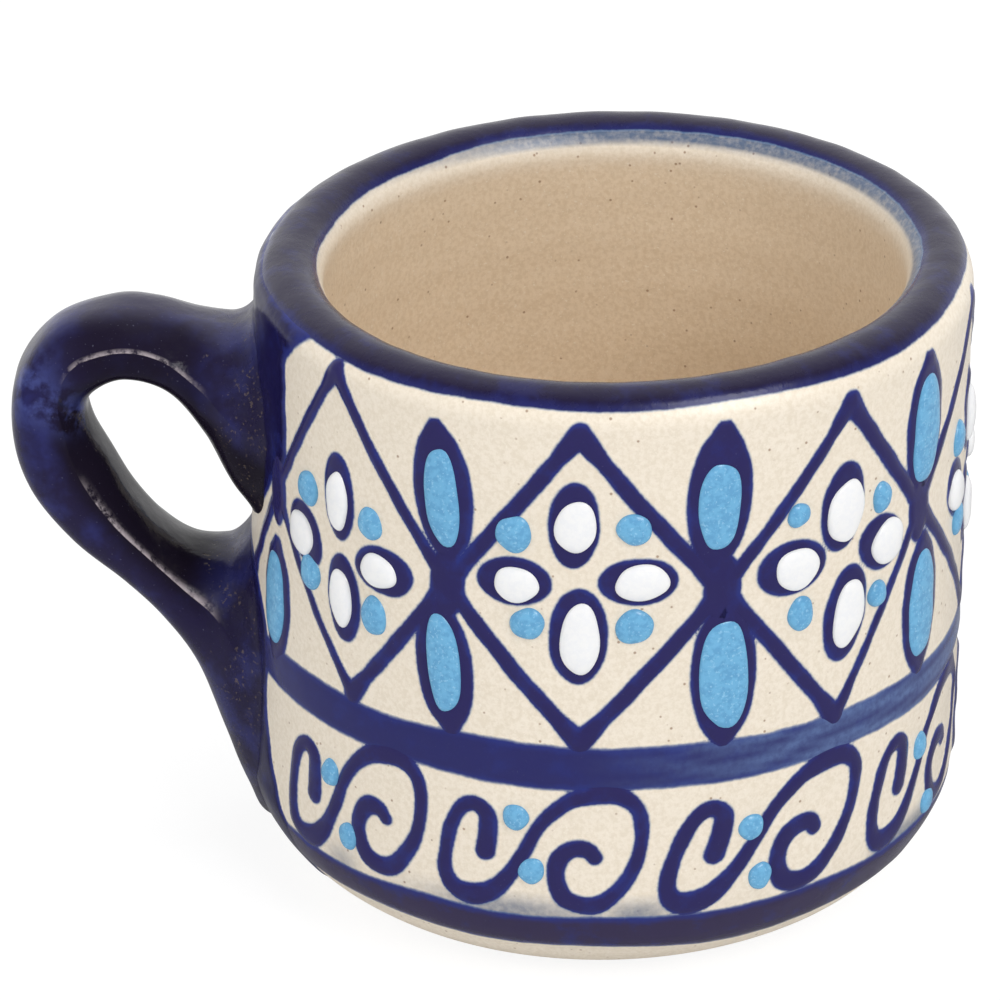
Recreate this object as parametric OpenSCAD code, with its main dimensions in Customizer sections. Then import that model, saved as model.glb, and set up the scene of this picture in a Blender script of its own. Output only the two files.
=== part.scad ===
// Hand-thrown stoneware mug with a pulled loop handle, cobalt slip bands and trailed enamel relief.
// Millimetres, +Z up, origin at the centre of the flat foot, handle along -X.

/* [Cup] */
// Height from the foot to the top of the lip
cup_h = 75; // [60:1:100]
// Outer diameter at the lip
rim_d = 80; // [70:1:100]
// Outer diameter where the wall meets the rounded lower corner
belly_d = 81.4; // [72:0.2:104]
// Height of the rounded lower corner
corner_h = 14; // [9:0.5:16]
// Diameter of the flat foot
foot_d = 57; // [44:1:62]
// Thickness of the rolled lip
lip_w = 7.6; // [6:0.2:9]
// Thickness of the wall below the lip
wall_w = 6.4; // [4.5:0.1:8]
// Thickness of the floor
floor_w = 8; // [5:0.5:12]
// Radius between the wall and the floor inside
inside_r = 10; // [5:0.5:16]

/* [Handle] */
// Distance from the cup's axis to the outside of the loop
handle_reach = 68; // [60:1:84]
// Width of the loop across its flat
arm_w = 14; // [11:0.5:17]
// Width of the upper root on the wall
upper_root_w = 24; // [18:0.5:27]
// Width of the lower root and tail on the wall
tail_w = 23; // [17:0.5:26]
// Width of the smoothed clay beside each root
weld_w = 3; // [1:0.5:5]

/* [Slip bands] */
// Thickness of the brushed slip
slip_t = 0.35; // [0.2:0.05:0.8]
// Depth of the rim band on the outside of the lip
rim_band_drop = 1.8; // [1:0.1:3]
// Height of the lower edge of the waist band as a share of the cup's height
waist_share = 0.376; // [0.34:0.004:0.41]
// Width of the waist band
waist_w = 4.8; // [3:0.2:6.5]
// Height of the lower edge of the foot band as a share of the cup's height
foot_band_share = 0.096; // [0.056:0.004:0.12]
// Width of the foot band
foot_band_w = 4.3; // [2.5:0.1:5]

/* [Diamonds] */
// Diamonds round the cup
diamond_count = 7; // [4:1:7]
// Angle that one diamond takes
diamond_pitch = 43; // [38:0.5:43]
// Angle from the handle to the first crossing
first_crossing = 22.5; // [21:0.5:30]
// Clear height between the diamonds and the rim band
diamond_gap = 2.2; // [1.5:0.1:5]
// Width of a trailed line
line_w = 2.1; // [1.4:0.1:3]
// Height of the trailed slip above the wall
trail_t = 0.6; // [0.3:0.05:1]

/* [Petals, leaves and dots] */
// Length of a white petal
petal_l = 7.2; // [5:0.1:8]
// Width of a white petal
petal_w = 4.7; // [3:0.1:5.2]
// Distance from the flower's centre to a petal's centre
petal_out = 6.7; // [6:0.1:7.4]
// Height of a petal above the wall
petal_t = 1.1; // [0.5:0.1:1.6]
// Width of the dark rim round a petal
petal_rim_w = 1; // [0.6:0.1:1.4]
// Length of a blue leaf
leaf_l = 11.8; // [8:0.2:12.2]
// Width of a blue leaf
leaf_w = 4.5; // [3:0.1:4.8]
// Distance from the crossing to a leaf's centre
leaf_out = 10.2; // [9.6:0.1:10.8]
// Height of a leaf above the wall
leaf_t = 0.95; // [0.4:0.05:1.4]
// Length of the dark rim round a leaf
leaf_rim_l = 17.2; // [15.4:0.2:17.6]
// Width of the dark rim round a leaf
leaf_rim_w = 7; // [6.2:0.1:7.4]
// Diameter of a blue dot beside the petals
dot_d = 4; // [2.5:0.1:4.2]
// Sideways distance from the flower's centre to a dot
dot_across = 6.4; // [6.2:0.1:7]
// Upward distance from the flower's centre to a dot
dot_up = 5.8; // [5.6:0.1:6.4]
// Height of a dot above the wall
dot_t = 1; // [0.5:0.1:1.4]
// Bare ring left between enamel and slip
enamel_gap = 0.06; // [0.04:0.02:0.2]

/* [Scrolls] */
// Scrolls round the cup
scroll_count = 9; // [5:1:9]
// Angle that one scroll takes
scroll_pitch = 35; // [33:0.5:35]
// Angle from the handle to the first scroll's centre
first_scroll = 45.4; // [43:0.2:46]
// Width of a scroll over its lobes
scroll_w = 22.6; // [18:0.2:22.6]
// Height of a scroll
scroll_h = 15.6; // [12:0.2:15.8]
// Width of a scroll's stroke
stroke_w = 2.2; // [1.6:0.1:2.4]
// Diameter of a dot beside a scroll's stem
scroll_dot_d = 3; // [2:0.1:3.2]
// Height of a scroll's dot above the wall
scroll_dot_t = 0.8; // [0.4:0.1:1.2]

/* [Hidden] */

clay = "tan";
cobalt = "midnightblue";
sky = "steelblue";
white = "white";

// Cuts run past the faces that they cross by this much
over = 1;
rim_r = rim_d / 2;
belly_r = belly_d / 2;
foot_r = foot_d / 2;
lip_r = lip_w / 2;
lip_z = cup_h - lip_r;
lip_x = rim_r - lip_r;
waist_z = waist_share * cup_h;
waist_top = waist_z + waist_w;
foot_band_z = foot_band_share * cup_h;
foot_band_top = foot_band_z + foot_band_w;
rim_band_z = cup_h - rim_band_drop;
diamond_top = rim_band_z - diamond_gap;
diamond_z = (diamond_top + waist_top) / 2;
scroll_z = (foot_band_top + waist_z) / 2;
// Points on a quarter turn of a profile, and rings between two stations of the handle
arc_steps = 8;
ring_steps = 3;
ring_sides = 24;
$fn = 180;

// Point on the lip at a turn from the outside, raised by t
function lip_point(turn, t) = [lip_x + (lip_r + t) * cos(turn), lip_z + (lip_r + t) * sin(turn)];

// Angles of n equal steps from a to b
function steps(a, b, n) = [for (i = [0:n]) a + (b - a) * i / n];

// Rounded lower corner from the foot up to the wall
function corner_points() = [
    for (a = steps(-90, 0, arc_steps)) [
        foot_r + (belly_r - foot_r) * cos(a), corner_h * (1 + sin(a))
    ]
];

// Outside of the cup from the foot to the top of the lip, and its radius at a height
outer_side = concat(corner_points(), [for (a = steps(0, 90, arc_steps)) lip_point(a, 0)]);
wall_table = [for (p = outer_side) [p[1], p[0]]];
function wall_r(z) = lookup(z, wall_table);

// Angle under which a length on the wall at a height shows from the axis
function span(length, z) = asin(length / wall_r(z));

// Outline of the hollow, closed along the axis and open at the top
function inner_outline() =
    let (corner_x = belly_r - wall_w - inside_r)
    concat(
        [[0, floor_w]],
        [for (a = steps(-90, 0, arc_steps)) [
            corner_x + inside_r * cos(a), floor_w + inside_r * (1 + sin(a))
        ]],
        [for (a = steps(180, 90, arc_steps)) lip_point(a, 0)],
        [[lip_x, cup_h + over], [0, cup_h + over]]
    );

// Skin of thickness t on the outside between two heights
function skin_outline(low, high, t) =
    let (levels = concat([low], [for (p = outer_side) if (p[1] > low && p[1] < high) p[1]], [high]))
    concat(
        [for (z = levels) [wall_r(z), z]],
        [for (z = reversed(levels)) [wall_r(z) + t, z]]
    );
function reversed(list) = [for (i = [len(list) - 1:-1:0]) list[i]];

module outer_form() {
    rotate_extrude() polygon(concat([[0, 0]], outer_side, [[0, cup_h]]));
}

// Skin that everything trailed between two heights is cut from
module trail_skin(low, high) {
    rotate_extrude() polygon(skin_outline(low, high, trail_t));
}

// Puts a flat shape, drawn across and up, on the wall at a turn from the handle
module on_wall(turn, z) {
    rotate([0, 0, 180 + turn])
        translate([wall_r(z) - wall_w, 0, z])
            rotate([90, 0, 90])
                linear_extrude(2 * wall_w) children();
}

// Height of an enamel bead at its ends as a share of its height in the middle
bead_edge_share = 0.3;

// Enamel bead on the wall: a drop with the outline of the child, of a length and a height
module bead(turn, z, length, t) {
    drop = t * (1 - bead_edge_share);
    crown_r = (pow(length / 2, 2) + pow(drop, 2)) / (2 * drop);
    intersection() {
        on_wall(turn, z) children();
        rotate([0, 0, 180 + turn]) translate([wall_r(z) + t - crown_r, 0, z]) sphere(crown_r);
    }
}

// Round drop of enamel on the wall: a cap of diameter d and height t
module drop(turn, z, d, t) {
    crown_r = (pow(d / 2, 2) + pow(t, 2)) / (2 * t);
    rotate([0, 0, 180 + turn]) translate([wall_r(z) + t - crown_r, 0, z]) sphere(crown_r);
}

// Length of the pointed oval that an oval is rounded from, as a share of its own length
oval_tip_share = 1.14;

// Upright oval: a pointed oval with rounded ends
module oval(width, length) {
    intersection() {
        leaf_shape(width, length * oval_tip_share);
        circle(length / 2);
    }
}

// Pointed oval: the overlap of two circles
module leaf_shape(across, up) {
    r = (pow(up, 2) + pow(across, 2)) / (4 * across);
    intersection() {
        translate([r - across / 2, 0]) circle(r);
        translate([across / 2 - r, 0]) circle(r);
    }
}

// Handle

// Stations along the loop from the upper root to the tail's end. Each row gives the outer edge's
// place out and up, the inner edge's place out and up, and how far the width has gone from the
// arm's to the root's. Out is a share of the reach past the wall, up a share of the cup's height.
loop_shares = [
    [-0.15, 0.904, -0.15, 0.584, 1.00],
    [0.03, 0.888, 0.03, 0.611, 0.85],
    [0.21, 0.889, 0.17, 0.694, 0.30],
    [0.38, 0.897, 0.31, 0.763, 0.04],
    [0.56, 0.901, 0.49, 0.788, 0],
    [0.80, 0.872, 0.62, 0.771, 0],
    [0.96, 0.792, 0.68, 0.739, 0],
    [1.00, 0.704, 0.68, 0.707, 0],
    [0.94, 0.611, 0.61, 0.667, 0],
    [0.78, 0.523, 0.51, 0.605, 0],
    [0.56, 0.453, 0.38, 0.549, 0.04],
    [0.38, 0.389, 0.24, 0.513, 0.14],
    [0.25, 0.317, 0.10, 0.511, 0.40],
    [0.14, 0.211, 0.00, 0.529, 0.80],
    [0.03, 0.108, -0.12, 0.547, 1.00],
    [-0.17, 0.058, -0.21, 0.510, 0.90]
];
// How square the arm's section is: 1 would be an ellipse
section_share = 0.65;
// First station of the lower half, where the tail's width takes over from the root's
tail_row = 8;

last_row = len(loop_shares) - 1;
function row(i) = loop_shares[min(max(i, 0), last_row)];

// Smooth curve through the stations
function through(a, b, c, d, t) =
    b + (c - a) * t / 2 + (2 * a - 5 * b + 4 * c - d) * pow(t, 2) / 2
    + (3 * b - a - 3 * c + d) * pow(t, 3) / 2;
function station(s) =
    let (i = min(floor(s), last_row - 1))
    through(row(i - 1), row(i), row(i + 1), row(i + 2), s - i);

function loop_out(share) = -(belly_r + share * (handle_reach - belly_r));
function rounded(v) = sign(v) * pow(abs(v), section_share);

// One ring of the loop: an oval between the outer and the inner edge
function ring(s) =
    let (
        q = station(s),
        root_w = s < tail_row ? upper_root_w : tail_w,
        half_w = (arm_w + (root_w - arm_w) * max(0, q[4])) / 2,
        outer = [loop_out(q[0]), cup_h * q[1]],
        inner = [loop_out(q[2]), cup_h * q[3]],
        middle = (outer + inner) / 2,
        half = (outer - inner) / 2
    )
    [for (k = [0:ring_sides - 1])
        let (a = 360 * k / ring_sides, p = middle + half * rounded(cos(a)))
        [p[0], half_w * rounded(sin(a)), p[1]]];

module loop_form() {
    rings = last_row * ring_steps;
    points = [for (i = [0:rings]) each ring(i / ring_steps)];
    function at(i, k) = i * ring_sides + k % ring_sides;
    sides = [
        for (i = [0:rings - 1], k = [0:ring_sides - 1])
        each [
            [at(i, k), at(i, k + 1), at(i + 1, k)],
            [at(i, k + 1), at(i + 1, k + 1), at(i + 1, k)]
        ]
    ];
    first_cap = [for (k = [ring_sides - 1:-1:0]) at(0, k)];
    last_cap = [for (k = [0:ring_sides - 1]) at(rings, k)];
    polyhedron(points, concat(sides, [first_cap, last_cap]));
}

// Clay

module cup_body() {
    color(clay) difference() {
        outer_form();
        rotate_extrude() polygon(inner_outline());
    }
}

module handle() {
    color(cobalt) difference() {
        loop_form();
        outer_form();
    }
}

// Brushed slip

// Turns from the outside at which the rim band starts and ends on the lip
rim_start = asin((rim_band_z - lip_z) / lip_r);
rim_end = 135;

module rim_band() {
    color(cobalt) rotate_extrude() polygon(concat(
        [for (a = steps(rim_start, rim_end, 2 * arc_steps)) lip_point(a, 0)],
        [for (a = steps(rim_end, rim_start, 2 * arc_steps)) lip_point(a, slip_t)]
    ));
}

// Band round the wall, open where the handle's root is
module band(low, high, root_w) {
    open = 2 * span(root_w / 2, high);
    rotate([0, 0, 180 + open / 2])
        rotate_extrude(angle = 360 - open)
            polygon(skin_outline(low, high, slip_t));
}

module waist_band() {
    color(cobalt) band(waist_z, waist_top, tail_w);
}

module foot_band() {
    color(cobalt) band(foot_band_z, foot_band_top, tail_w);
}

// Trailed diamonds

diamond_half_w = wall_r(diamond_z) * sin(diamond_pitch / 2);
diamond_half_h = diamond_top - diamond_z;
// Half sizes of the diamond that the petals', leaves' and dots' sizes are given for. In another
// diamond lengths across the wall and up it follow that diamond's own half sizes.
plan_half_w = 14.75;
plan_half_h = 19;
function across(length) = length * diamond_half_w / plan_half_w;
function up(length) = length * diamond_half_h / plan_half_h;
function both(length) = min(across(length), up(length));
crossings = [for (i = [0:diamond_count]) first_crossing + i * diamond_pitch];
flowers = [for (i = [0:diamond_count - 1]) first_crossing + (i + 1 / 2) * diamond_pitch];
petal_turns = [0, 90, 180, 270];

// A leaf is left out above a crossing where the handle's weld covers its place
function clear_of_root(turn) =
    min(turn, 360 - turn)
    > span(upper_root_w / 2 + weld_w, diamond_z) + span(across(leaf_rim_w) / 2, diamond_z);
leaf_places = [
    for (c = crossings, way = [1, -1])
    if (way < 0 || clear_of_root(c)) [c, diamond_z + way * up(leaf_out)]
];

// The four sides of one diamond as a frame of even width
module diamond_frame() {
    edge = norm([diamond_half_w, diamond_half_h]);
    miter = line_w / 2 * [edge / diamond_half_h, edge / diamond_half_w];
    function rhomb(k) = [
        for (a = petal_turns) [
            (diamond_half_w + k * miter[0]) * cos(a), (diamond_half_h + k * miter[1]) * sin(a)
        ]
    ];
    difference() {
        polygon(rhomb(1));
        polygon(rhomb(-1));
    }
}

// Angle left open at a crossing, where one trailed diamond stops short of the next
crossing_cut = 0.2;

// Wedge from the axis that holds one diamond
module sector(turn, angle) {
    reach = 2 * belly_r;
    rotate([0, 0, 180 + turn]) linear_extrude(cup_h) polygon(
        [[0, 0], for (a = [-angle / 2, angle / 2]) reach * [cos(a), sin(a)]]
    );
}

module leaf_rim() {
    leaf_shape(across(leaf_rim_w), up(leaf_rim_l));
}

module leaf(grow) {
    oval(across(leaf_w) + 2 * grow, up(leaf_l) + 2 * grow);
}

module leaf_footprints() {
    for (p = leaf_places) on_wall(p[0], p[1]) leaf_rim();
}

module diamond_lines() {
    color(cobalt) difference() {
        intersection() {
            union() for (f = flowers) intersection() {
                on_wall(f, diamond_z) diamond_frame();
                sector(f, diamond_pitch - crossing_cut);
            }
            trail_skin(waist_top, rim_band_z);
        }
        leaf_footprints();
    }
}

// Flowers and leaves

// Each petal's place: turn from the handle, height, and whether it stands upright
petal_places = [
    for (f = flowers, a = petal_turns) [
        f + span(across(petal_out * cos(a)), diamond_z), diamond_z + up(petal_out * sin(a)),
        abs(sin(a)) > abs(cos(a))
    ]
];

module petal(upright, grow) {
    if (upright) oval(across(petal_w) + 2 * grow, up(petal_l) + 2 * grow);
    else rotate(90) oval(up(petal_w) + 2 * grow, across(petal_l) + 2 * grow);
}

module petal_rims() {
    color(cobalt) intersection() {
        union() for (p = petal_places) on_wall(p[0], p[1]) difference() {
            petal(p[2], petal_rim_w);
            petal(p[2], enamel_gap);
        }
        trail_skin(waist_top, rim_band_z);
    }
}

module white_petals() {
    color(white) difference() {
        union() for (p = petal_places)
            bead(p[0], p[1], p[2] ? up(petal_l) : across(petal_l), petal_t) petal(p[2], 0);
        outer_form();
    }
}

module leaf_rims() {
    color(cobalt) intersection() {
        union() for (p = leaf_places) on_wall(p[0], p[1]) difference() {
            leaf_rim();
            leaf(enamel_gap);
        }
        trail_skin(waist_top, rim_band_z);
    }
}

module blue_leaves() {
    color(sky) difference() {
        union() for (p = leaf_places) bead(p[0], p[1], up(leaf_l), leaf_t) leaf(0);
        outer_form();
    }
}

module blue_dots() {
    color(sky) difference() {
        union() for (f = flowers, side = [-1, 1], way = [-1, 1])
            drop(
                f + side * span(across(dot_across), diamond_z), diamond_z + way * up(dot_up),
                both(dot_d), dot_t
            );
        outer_form();
    }
}

// Scrolls

scroll_turns = [for (i = [0:scroll_count - 1]) first_scroll + i * scroll_pitch];
// Wall radius and clear height that a scroll's size is given for. Between other bands the scroll
// follows their clear height, and on another wall its radius.
plan_r = 40.63;
plan_clear_h = 16.7;
scroll_r = wall_r(scroll_z);
drawn_w = scroll_w * scroll_r / plan_r;
drawn_h = scroll_h * (waist_z - foot_band_top) / plan_clear_h;
lobe_half_h = (drawn_h - stroke_w) / 2;
// Half width of one lobe as a share of the scroll's width, and how much of the lobe's width and
// height is left at the curl's tip
lobe_w_share = 0.178;
tip_w_share = 0.5;
tip_h_share = 0.2;
lobe_half_w = drawn_w * lobe_w_share;
lobe_x = (drawn_w - stroke_w) / 2 - lobe_half_w;
// Turns at which the stem joins a lobe, the curl starts to close in, and it ends
lobe_start = 122;
curl_start = -50;
curl_end = -290;
lobe_steps = 30;

// How soon the curl closes in: 1 would be evenly
curl_power = 0.8;

// Middle line of one half of a scroll, from its centre to the tip of its curl
function curl_share(a, tip_share) =
    a > curl_start ? 1 : 1 - (1 - tip_share) * pow((curl_start - a) / (curl_start - curl_end), curl_power);
half_scroll = [
    for (a = steps(lobe_start, curl_end, lobe_steps)) [
        lobe_x + lobe_half_w * curl_share(a, tip_w_share) * cos(a),
        lobe_half_h * curl_share(a, tip_h_share) * sin(a)
    ]
];
scroll_line = concat(
    [for (i = [lobe_steps:-1:0]) -half_scroll[i]], [[0, 0]], half_scroll
);

// Direction of the line at its point i
function along(line, i) =
    let (d = line[min(i + 1, len(line) - 1)] - line[max(i - 1, 0)]) d / norm(d);
// Edge of the stroke on one side
function stroke_edge(line, side) = [
    for (i = [0:len(line) - 1])
    let (d = along(line, i)) line[i] + side * stroke_w / 2 * [-d[1], d[0]]
];
// Half circle that rounds the stroke's end
function stroke_end(p, d) = [
    for (a = [60, 0, -60])
    p + stroke_w / 2 * [d[0] * cos(a) - d[1] * sin(a), d[1] * cos(a) + d[0] * sin(a)]
];
// Distances along the wall as seen square on
function flattened(points) = [for (p = points) [scroll_r * sin(p[0] / scroll_r * 180 / PI), p[1]]];

module scroll_shape() {
    last = len(scroll_line) - 1;
    polygon(flattened(concat(
        stroke_edge(scroll_line, 1),
        stroke_end(scroll_line[last], along(scroll_line, last)),
        reversed(stroke_edge(scroll_line, -1)),
        stroke_end(scroll_line[0], -along(scroll_line, 0))
    )));
}

module scrolls() {
    color(cobalt) intersection() {
        union() for (t = scroll_turns) on_wall(t, scroll_z) scroll_shape();
        trail_skin(foot_band_top, waist_z);
    }
}

// Clear distance between a scroll's stem and its dots, and how far back along the stem a dot lies
// as a share of the scroll's height
dot_clear = 0.22;
dot_back_share = 0.17;
drawn_dot_d = scroll_dot_d * scroll_r / plan_r;
stem = half_scroll[0] / norm(half_scroll[0]);
dot_place = (stroke_w / 2 + dot_clear + drawn_dot_d / 2) * [stem[1], -stem[0]]
    - dot_back_share * drawn_h * stem;

module scroll_dots() {
    color(sky) difference() {
        union() for (t = scroll_turns, side = [-1, 1])
            drop(
                t + side * span(dot_place[0], scroll_z), scroll_z + side * dot_place[1],
                drawn_dot_d, scroll_dot_t
            );
        outer_form();
    }
}

cup_body();
handle();
rim_band();
waist_band();
foot_band();
diamond_lines();
petal_rims();
leaf_rims();
white_petals();
blue_leaves();
blue_dots();
scrolls();
scroll_dots();
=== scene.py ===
"""Looks of a small hand-thrown stoneware mug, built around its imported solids.

The cup, its handle, the brushed and trailed cobalt slip and the enamel drops are meshes made here.
Lengths are millimetres until a mesh is made, and metres from there on. A turn is an angle in degrees
round the cup's axis, from the front (-Y) towards +X, so the handle (-X) stands at -90.
"""

from __future__ import annotations

import logging
import math
from collections.abc import Callable
from dataclasses import dataclass, field, replace
from enum import Enum

import bpy
import numpy as np
from mathutils import Matrix, Vector

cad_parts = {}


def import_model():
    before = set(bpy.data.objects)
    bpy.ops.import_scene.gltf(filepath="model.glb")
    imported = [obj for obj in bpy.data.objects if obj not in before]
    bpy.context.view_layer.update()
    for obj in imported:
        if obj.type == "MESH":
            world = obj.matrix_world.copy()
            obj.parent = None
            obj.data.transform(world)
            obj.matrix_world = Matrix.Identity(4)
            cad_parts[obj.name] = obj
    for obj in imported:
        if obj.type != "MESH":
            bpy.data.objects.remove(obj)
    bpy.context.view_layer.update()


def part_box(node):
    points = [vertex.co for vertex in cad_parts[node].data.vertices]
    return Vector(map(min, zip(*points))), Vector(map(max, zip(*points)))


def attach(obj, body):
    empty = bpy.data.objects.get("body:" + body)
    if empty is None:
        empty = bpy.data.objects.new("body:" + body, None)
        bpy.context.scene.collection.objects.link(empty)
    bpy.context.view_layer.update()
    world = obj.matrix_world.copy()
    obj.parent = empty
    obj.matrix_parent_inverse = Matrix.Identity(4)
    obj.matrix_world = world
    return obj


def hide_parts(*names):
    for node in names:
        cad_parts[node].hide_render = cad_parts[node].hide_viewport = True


MM = 0.001
FAR = 9.0
WALL_R = 40.4
HANDLE_TURN = -90.0
LOG = logging.getLogger("mug")

Shape = Callable[[np.ndarray, np.ndarray], np.ndarray]


class Slot(Enum):
    """Material slots of the record."""

    CLAY = "clay"
    HANDLE = "cobalt_handle"
    BAND = "cobalt_band"
    TRAIL = "cobalt_trail"
    WHITE = "white_enamel"
    SKY = "sky_enamel"


def smooth(low: float, high: float, value: np.ndarray | float) -> np.ndarray:
    """Return 0 at low and beyond, 1 at high and beyond, and a soft step between them."""
    t = np.clip((value - low) / (high - low), 0.0, 1.0)
    return t * t * (3.0 - 2.0 * t)


def plateau(limits: tuple[float, float, float, float], value: np.ndarray | float) -> np.ndarray:
    """Return a soft step up between the first two limits and down between the last two."""
    return smooth(limits[0], limits[1], value) * (1.0 - smooth(limits[2], limits[3], value))


def wrapped(turn: np.ndarray) -> np.ndarray:
    """Return angles in degrees, brought to between -180 and 180."""
    return (turn + 180.0) % 360.0 - 180.0


def squared(value: np.ndarray, power: float) -> np.ndarray:
    """Return a sine or cosine bent so that the curve that it draws has squarer corners."""
    return np.sign(value) * np.abs(value) ** power


@dataclass(frozen=True)
class Ripple:
    """Smooth unevenness over the wall that closes on itself round the cup.

    Attributes:
        wave: Typical distance from crest to crest, in millimetres.
        seed: Seed of its phases.
        count: Number of waves that are added up.
        radius: Radius of the wall that the waves run round.
    """

    wave: float
    seed: int
    count: int = 7
    radius: float = WALL_R

    def at(self, turn: np.ndarray, up: np.ndarray) -> np.ndarray:
        """Give the unevenness at places on the wall.

        Args:
            turn: Angles round the cup in degrees.
            up: Distances up the wall in millimetres.

        Returns:
            Values of about -1 to 1.
        """
        rng = np.random.default_rng(self.seed)
        total = np.zeros(np.broadcast(turn, up).shape)
        for i in range(self.count):
            way = math.pi * (i + rng.random()) / self.count
            pitch = 2.0 * math.pi / (self.wave * (0.75 + 0.6 * rng.random()))
            around = round(self.radius * pitch * math.cos(way))
            phase = 2.0 * math.pi * rng.random()
            total = total + np.sin(around * np.radians(turn) + pitch * math.sin(way) * up + phase)
        return total / math.sqrt(self.count)


@dataclass
class CupForm:
    """The thrown cup's form: its profile, and where a place on its skin lies.

    A place on the skin is a turn and a run, which is the distance along the profile from the foot's
    edge up the outside, over the lip and down the inside. The foot itself has negative runs.
    """

    height: float
    belly_r: float
    rim_r: float = 40.0
    foot_r: float = 26.8
    corner_h: float = 14.0
    corner_power: float = 1.75
    lip_r: float = 3.8
    wall_w: float = 6.4
    floor_w: float = 8.0
    inside_r: float = 10.0
    lean: float = 0.0267
    dip: float = 0.3
    dip_h: float = 30.0
    out_of_round: tuple[float, float] = (0.10, 0.06)
    ring_h: float = 0.025
    ring_pitch: float = 4.6
    inner_ring_h: float = 0.035
    inner_ring_pitch: float = 6.4
    table: dict[str, np.ndarray] = field(default_factory=dict)
    ends: dict[str, float] = field(default_factory=dict)

    def __post_init__(self) -> None:
        """Trace the profile once, in fine steps."""
        lip_z, lip_x = self.height - self.lip_r, self.rim_r - self.lip_r
        inner_x = self.belly_r - self.wall_w
        corner_x, corner_z = inner_x - self.inside_r, self.floor_w + self.inside_r
        quarter = np.radians(np.linspace(-90.0, 0.0, 160))
        half = np.radians(np.linspace(0.0, 180.0, 160))
        line = np.linspace(0.0, 1.0, 200)
        bend = 2.0 / self.corner_power
        pieces = {
            "foot": (self.foot_r * line, 0.0 * line),
            "corner": (
                self.foot_r + (self.belly_r - self.foot_r) * squared(np.cos(quarter), bend),
                self.corner_h * (1.0 + squared(np.sin(quarter), bend)),
            ),
            "wall": (
                self.belly_r + (self.rim_r - self.belly_r) * line,
                self.corner_h + (lip_z - self.corner_h) * line,
            ),
            "lip": (lip_x + self.lip_r * np.cos(half), lip_z + self.lip_r * np.sin(half)),
            "inside": (
                lip_x - self.lip_r + (inner_x - lip_x + self.lip_r) * line,
                lip_z + (corner_z - lip_z) * line,
            ),
            "bowl": (
                corner_x + self.inside_r * np.cos(quarter[::-1]),
                corner_z + self.inside_r * np.sin(quarter[::-1]),
            ),
            "floor": (corner_x * (1.0 - line), self.floor_w + 0.0 * line),
        }
        out = np.concatenate([p[0][1:] for p in pieces.values()])
        up = np.concatenate([p[1][1:] for p in pieces.values()])
        out, up = np.insert(out, 0, 0.0), np.insert(up, 0, 0.0)
        run = np.concatenate([[0.0], np.cumsum(np.hypot(np.diff(out), np.diff(up)))]) - self.foot_r
        along_out, along_up = np.gradient(out, run), np.gradient(up, run)
        size = np.hypot(along_out, along_up)
        self.table = {
            "run": run, "out": out, "up": up, "face_out": along_up / size, "face_up": -along_out / size,
        }
        last = 0
        for name, piece in pieces.items():
            last += len(piece[0]) - 1
            self.ends[name] = float(run[last])

    def read(self, key: str, run: np.ndarray) -> np.ndarray:
        """Return one column of the profile at the given runs."""
        return np.interp(run, self.table["run"], self.table[key])

    def run_at(self, up: np.ndarray | float) -> np.ndarray:
        """Return the run at a height on the outside."""
        outside = self.table["run"] <= 0.5 * (self.ends["wall"] + self.ends["lip"])
        return np.interp(up, self.table["up"][outside], self.table["run"][outside])

    def unevenness(self, turn: np.ndarray, run: np.ndarray) -> np.ndarray:
        """Give how far the thrown skin stands off its profile.

        Args:
            turn: Angles round the cup in degrees.
            run: Runs along the profile.

        Returns:
            Distances in millimetres, along the skin's own facing.
        """
        angle = np.radians(turn)
        two, three = self.out_of_round
        squash = two * np.sin(2.0 * angle + 0.6) + three * np.sin(3.0 * angle - 1.0)
        rings = self.ring_h * np.sin(2.0 * math.pi * run / self.ring_pitch + angle)
        inner_rings = self.inner_ring_h * np.sin(2.0 * math.pi * run / self.inner_ring_pitch - angle)
        inside = smooth(self.ends["lip"] - 1.0, self.ends["lip"] + 3.0, run)
        on_wall = plateau((2.0, 12.0, self.ends["bowl"] - 4.0, self.ends["floor"]), run)
        return on_wall * (squash + rings * (1.0 - inside) + inner_rings * inside)

    def place(self, turn: np.ndarray, run: np.ndarray, lift: np.ndarray | float = 0.0) -> np.ndarray:
        """Give points on the skin, or at a height above it.

        Args:
            turn: Angles round the cup in degrees.
            run: Runs along the profile.
            lift: Heights above the skin in millimetres.

        Returns:
            Points in millimetres, one row each.
        """
        angle = np.radians(turn)
        rise = lift + self.unevenness(turn, run)
        out = np.maximum(self.read("out", run) + rise * self.read("face_out", run), 0.0)
        up = self.read("up", run) + rise * self.read("face_up", run)
        up = up - self.dip * (1.0 - np.sin(angle)) * smooth(self.height - self.dip_h, self.height, up)
        points = np.stack([out * np.sin(angle), -out * np.cos(angle), up], axis=-1)
        return self.leaned(points)

    def leaned(self, points: np.ndarray) -> np.ndarray:
        """Shear points sideways as the finished mug leans, with its lip kept in place.

        Args:
            points: Points in millimetres.

        Returns:
            The moved points.
        """
        moved = points.copy()
        moved[..., 0] += self.lean * (points[..., 2] - self.height)
        return moved


def along_curve(knots: np.ndarray, s: float) -> np.ndarray:
    """Read a smooth curve through knots.

    Args:
        knots: Rows of numbers, which lie at 0, 1, 2 and so on.
        s: Place along the curve.

    Returns:
        Row of numbers at that place.
    """
    last = len(knots) - 1
    i = min(int(s), last - 1)
    t = s - i
    a, b, c, d = (knots[min(max(k, 0), last)] for k in (i - 1, i, i + 1, i + 2))
    return b + (c - a) * t / 2 + (2 * a - 5 * b + 4 * c - d) * t**2 / 2 + (3 * b - a - 3 * c + d) * t**3 / 2


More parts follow.
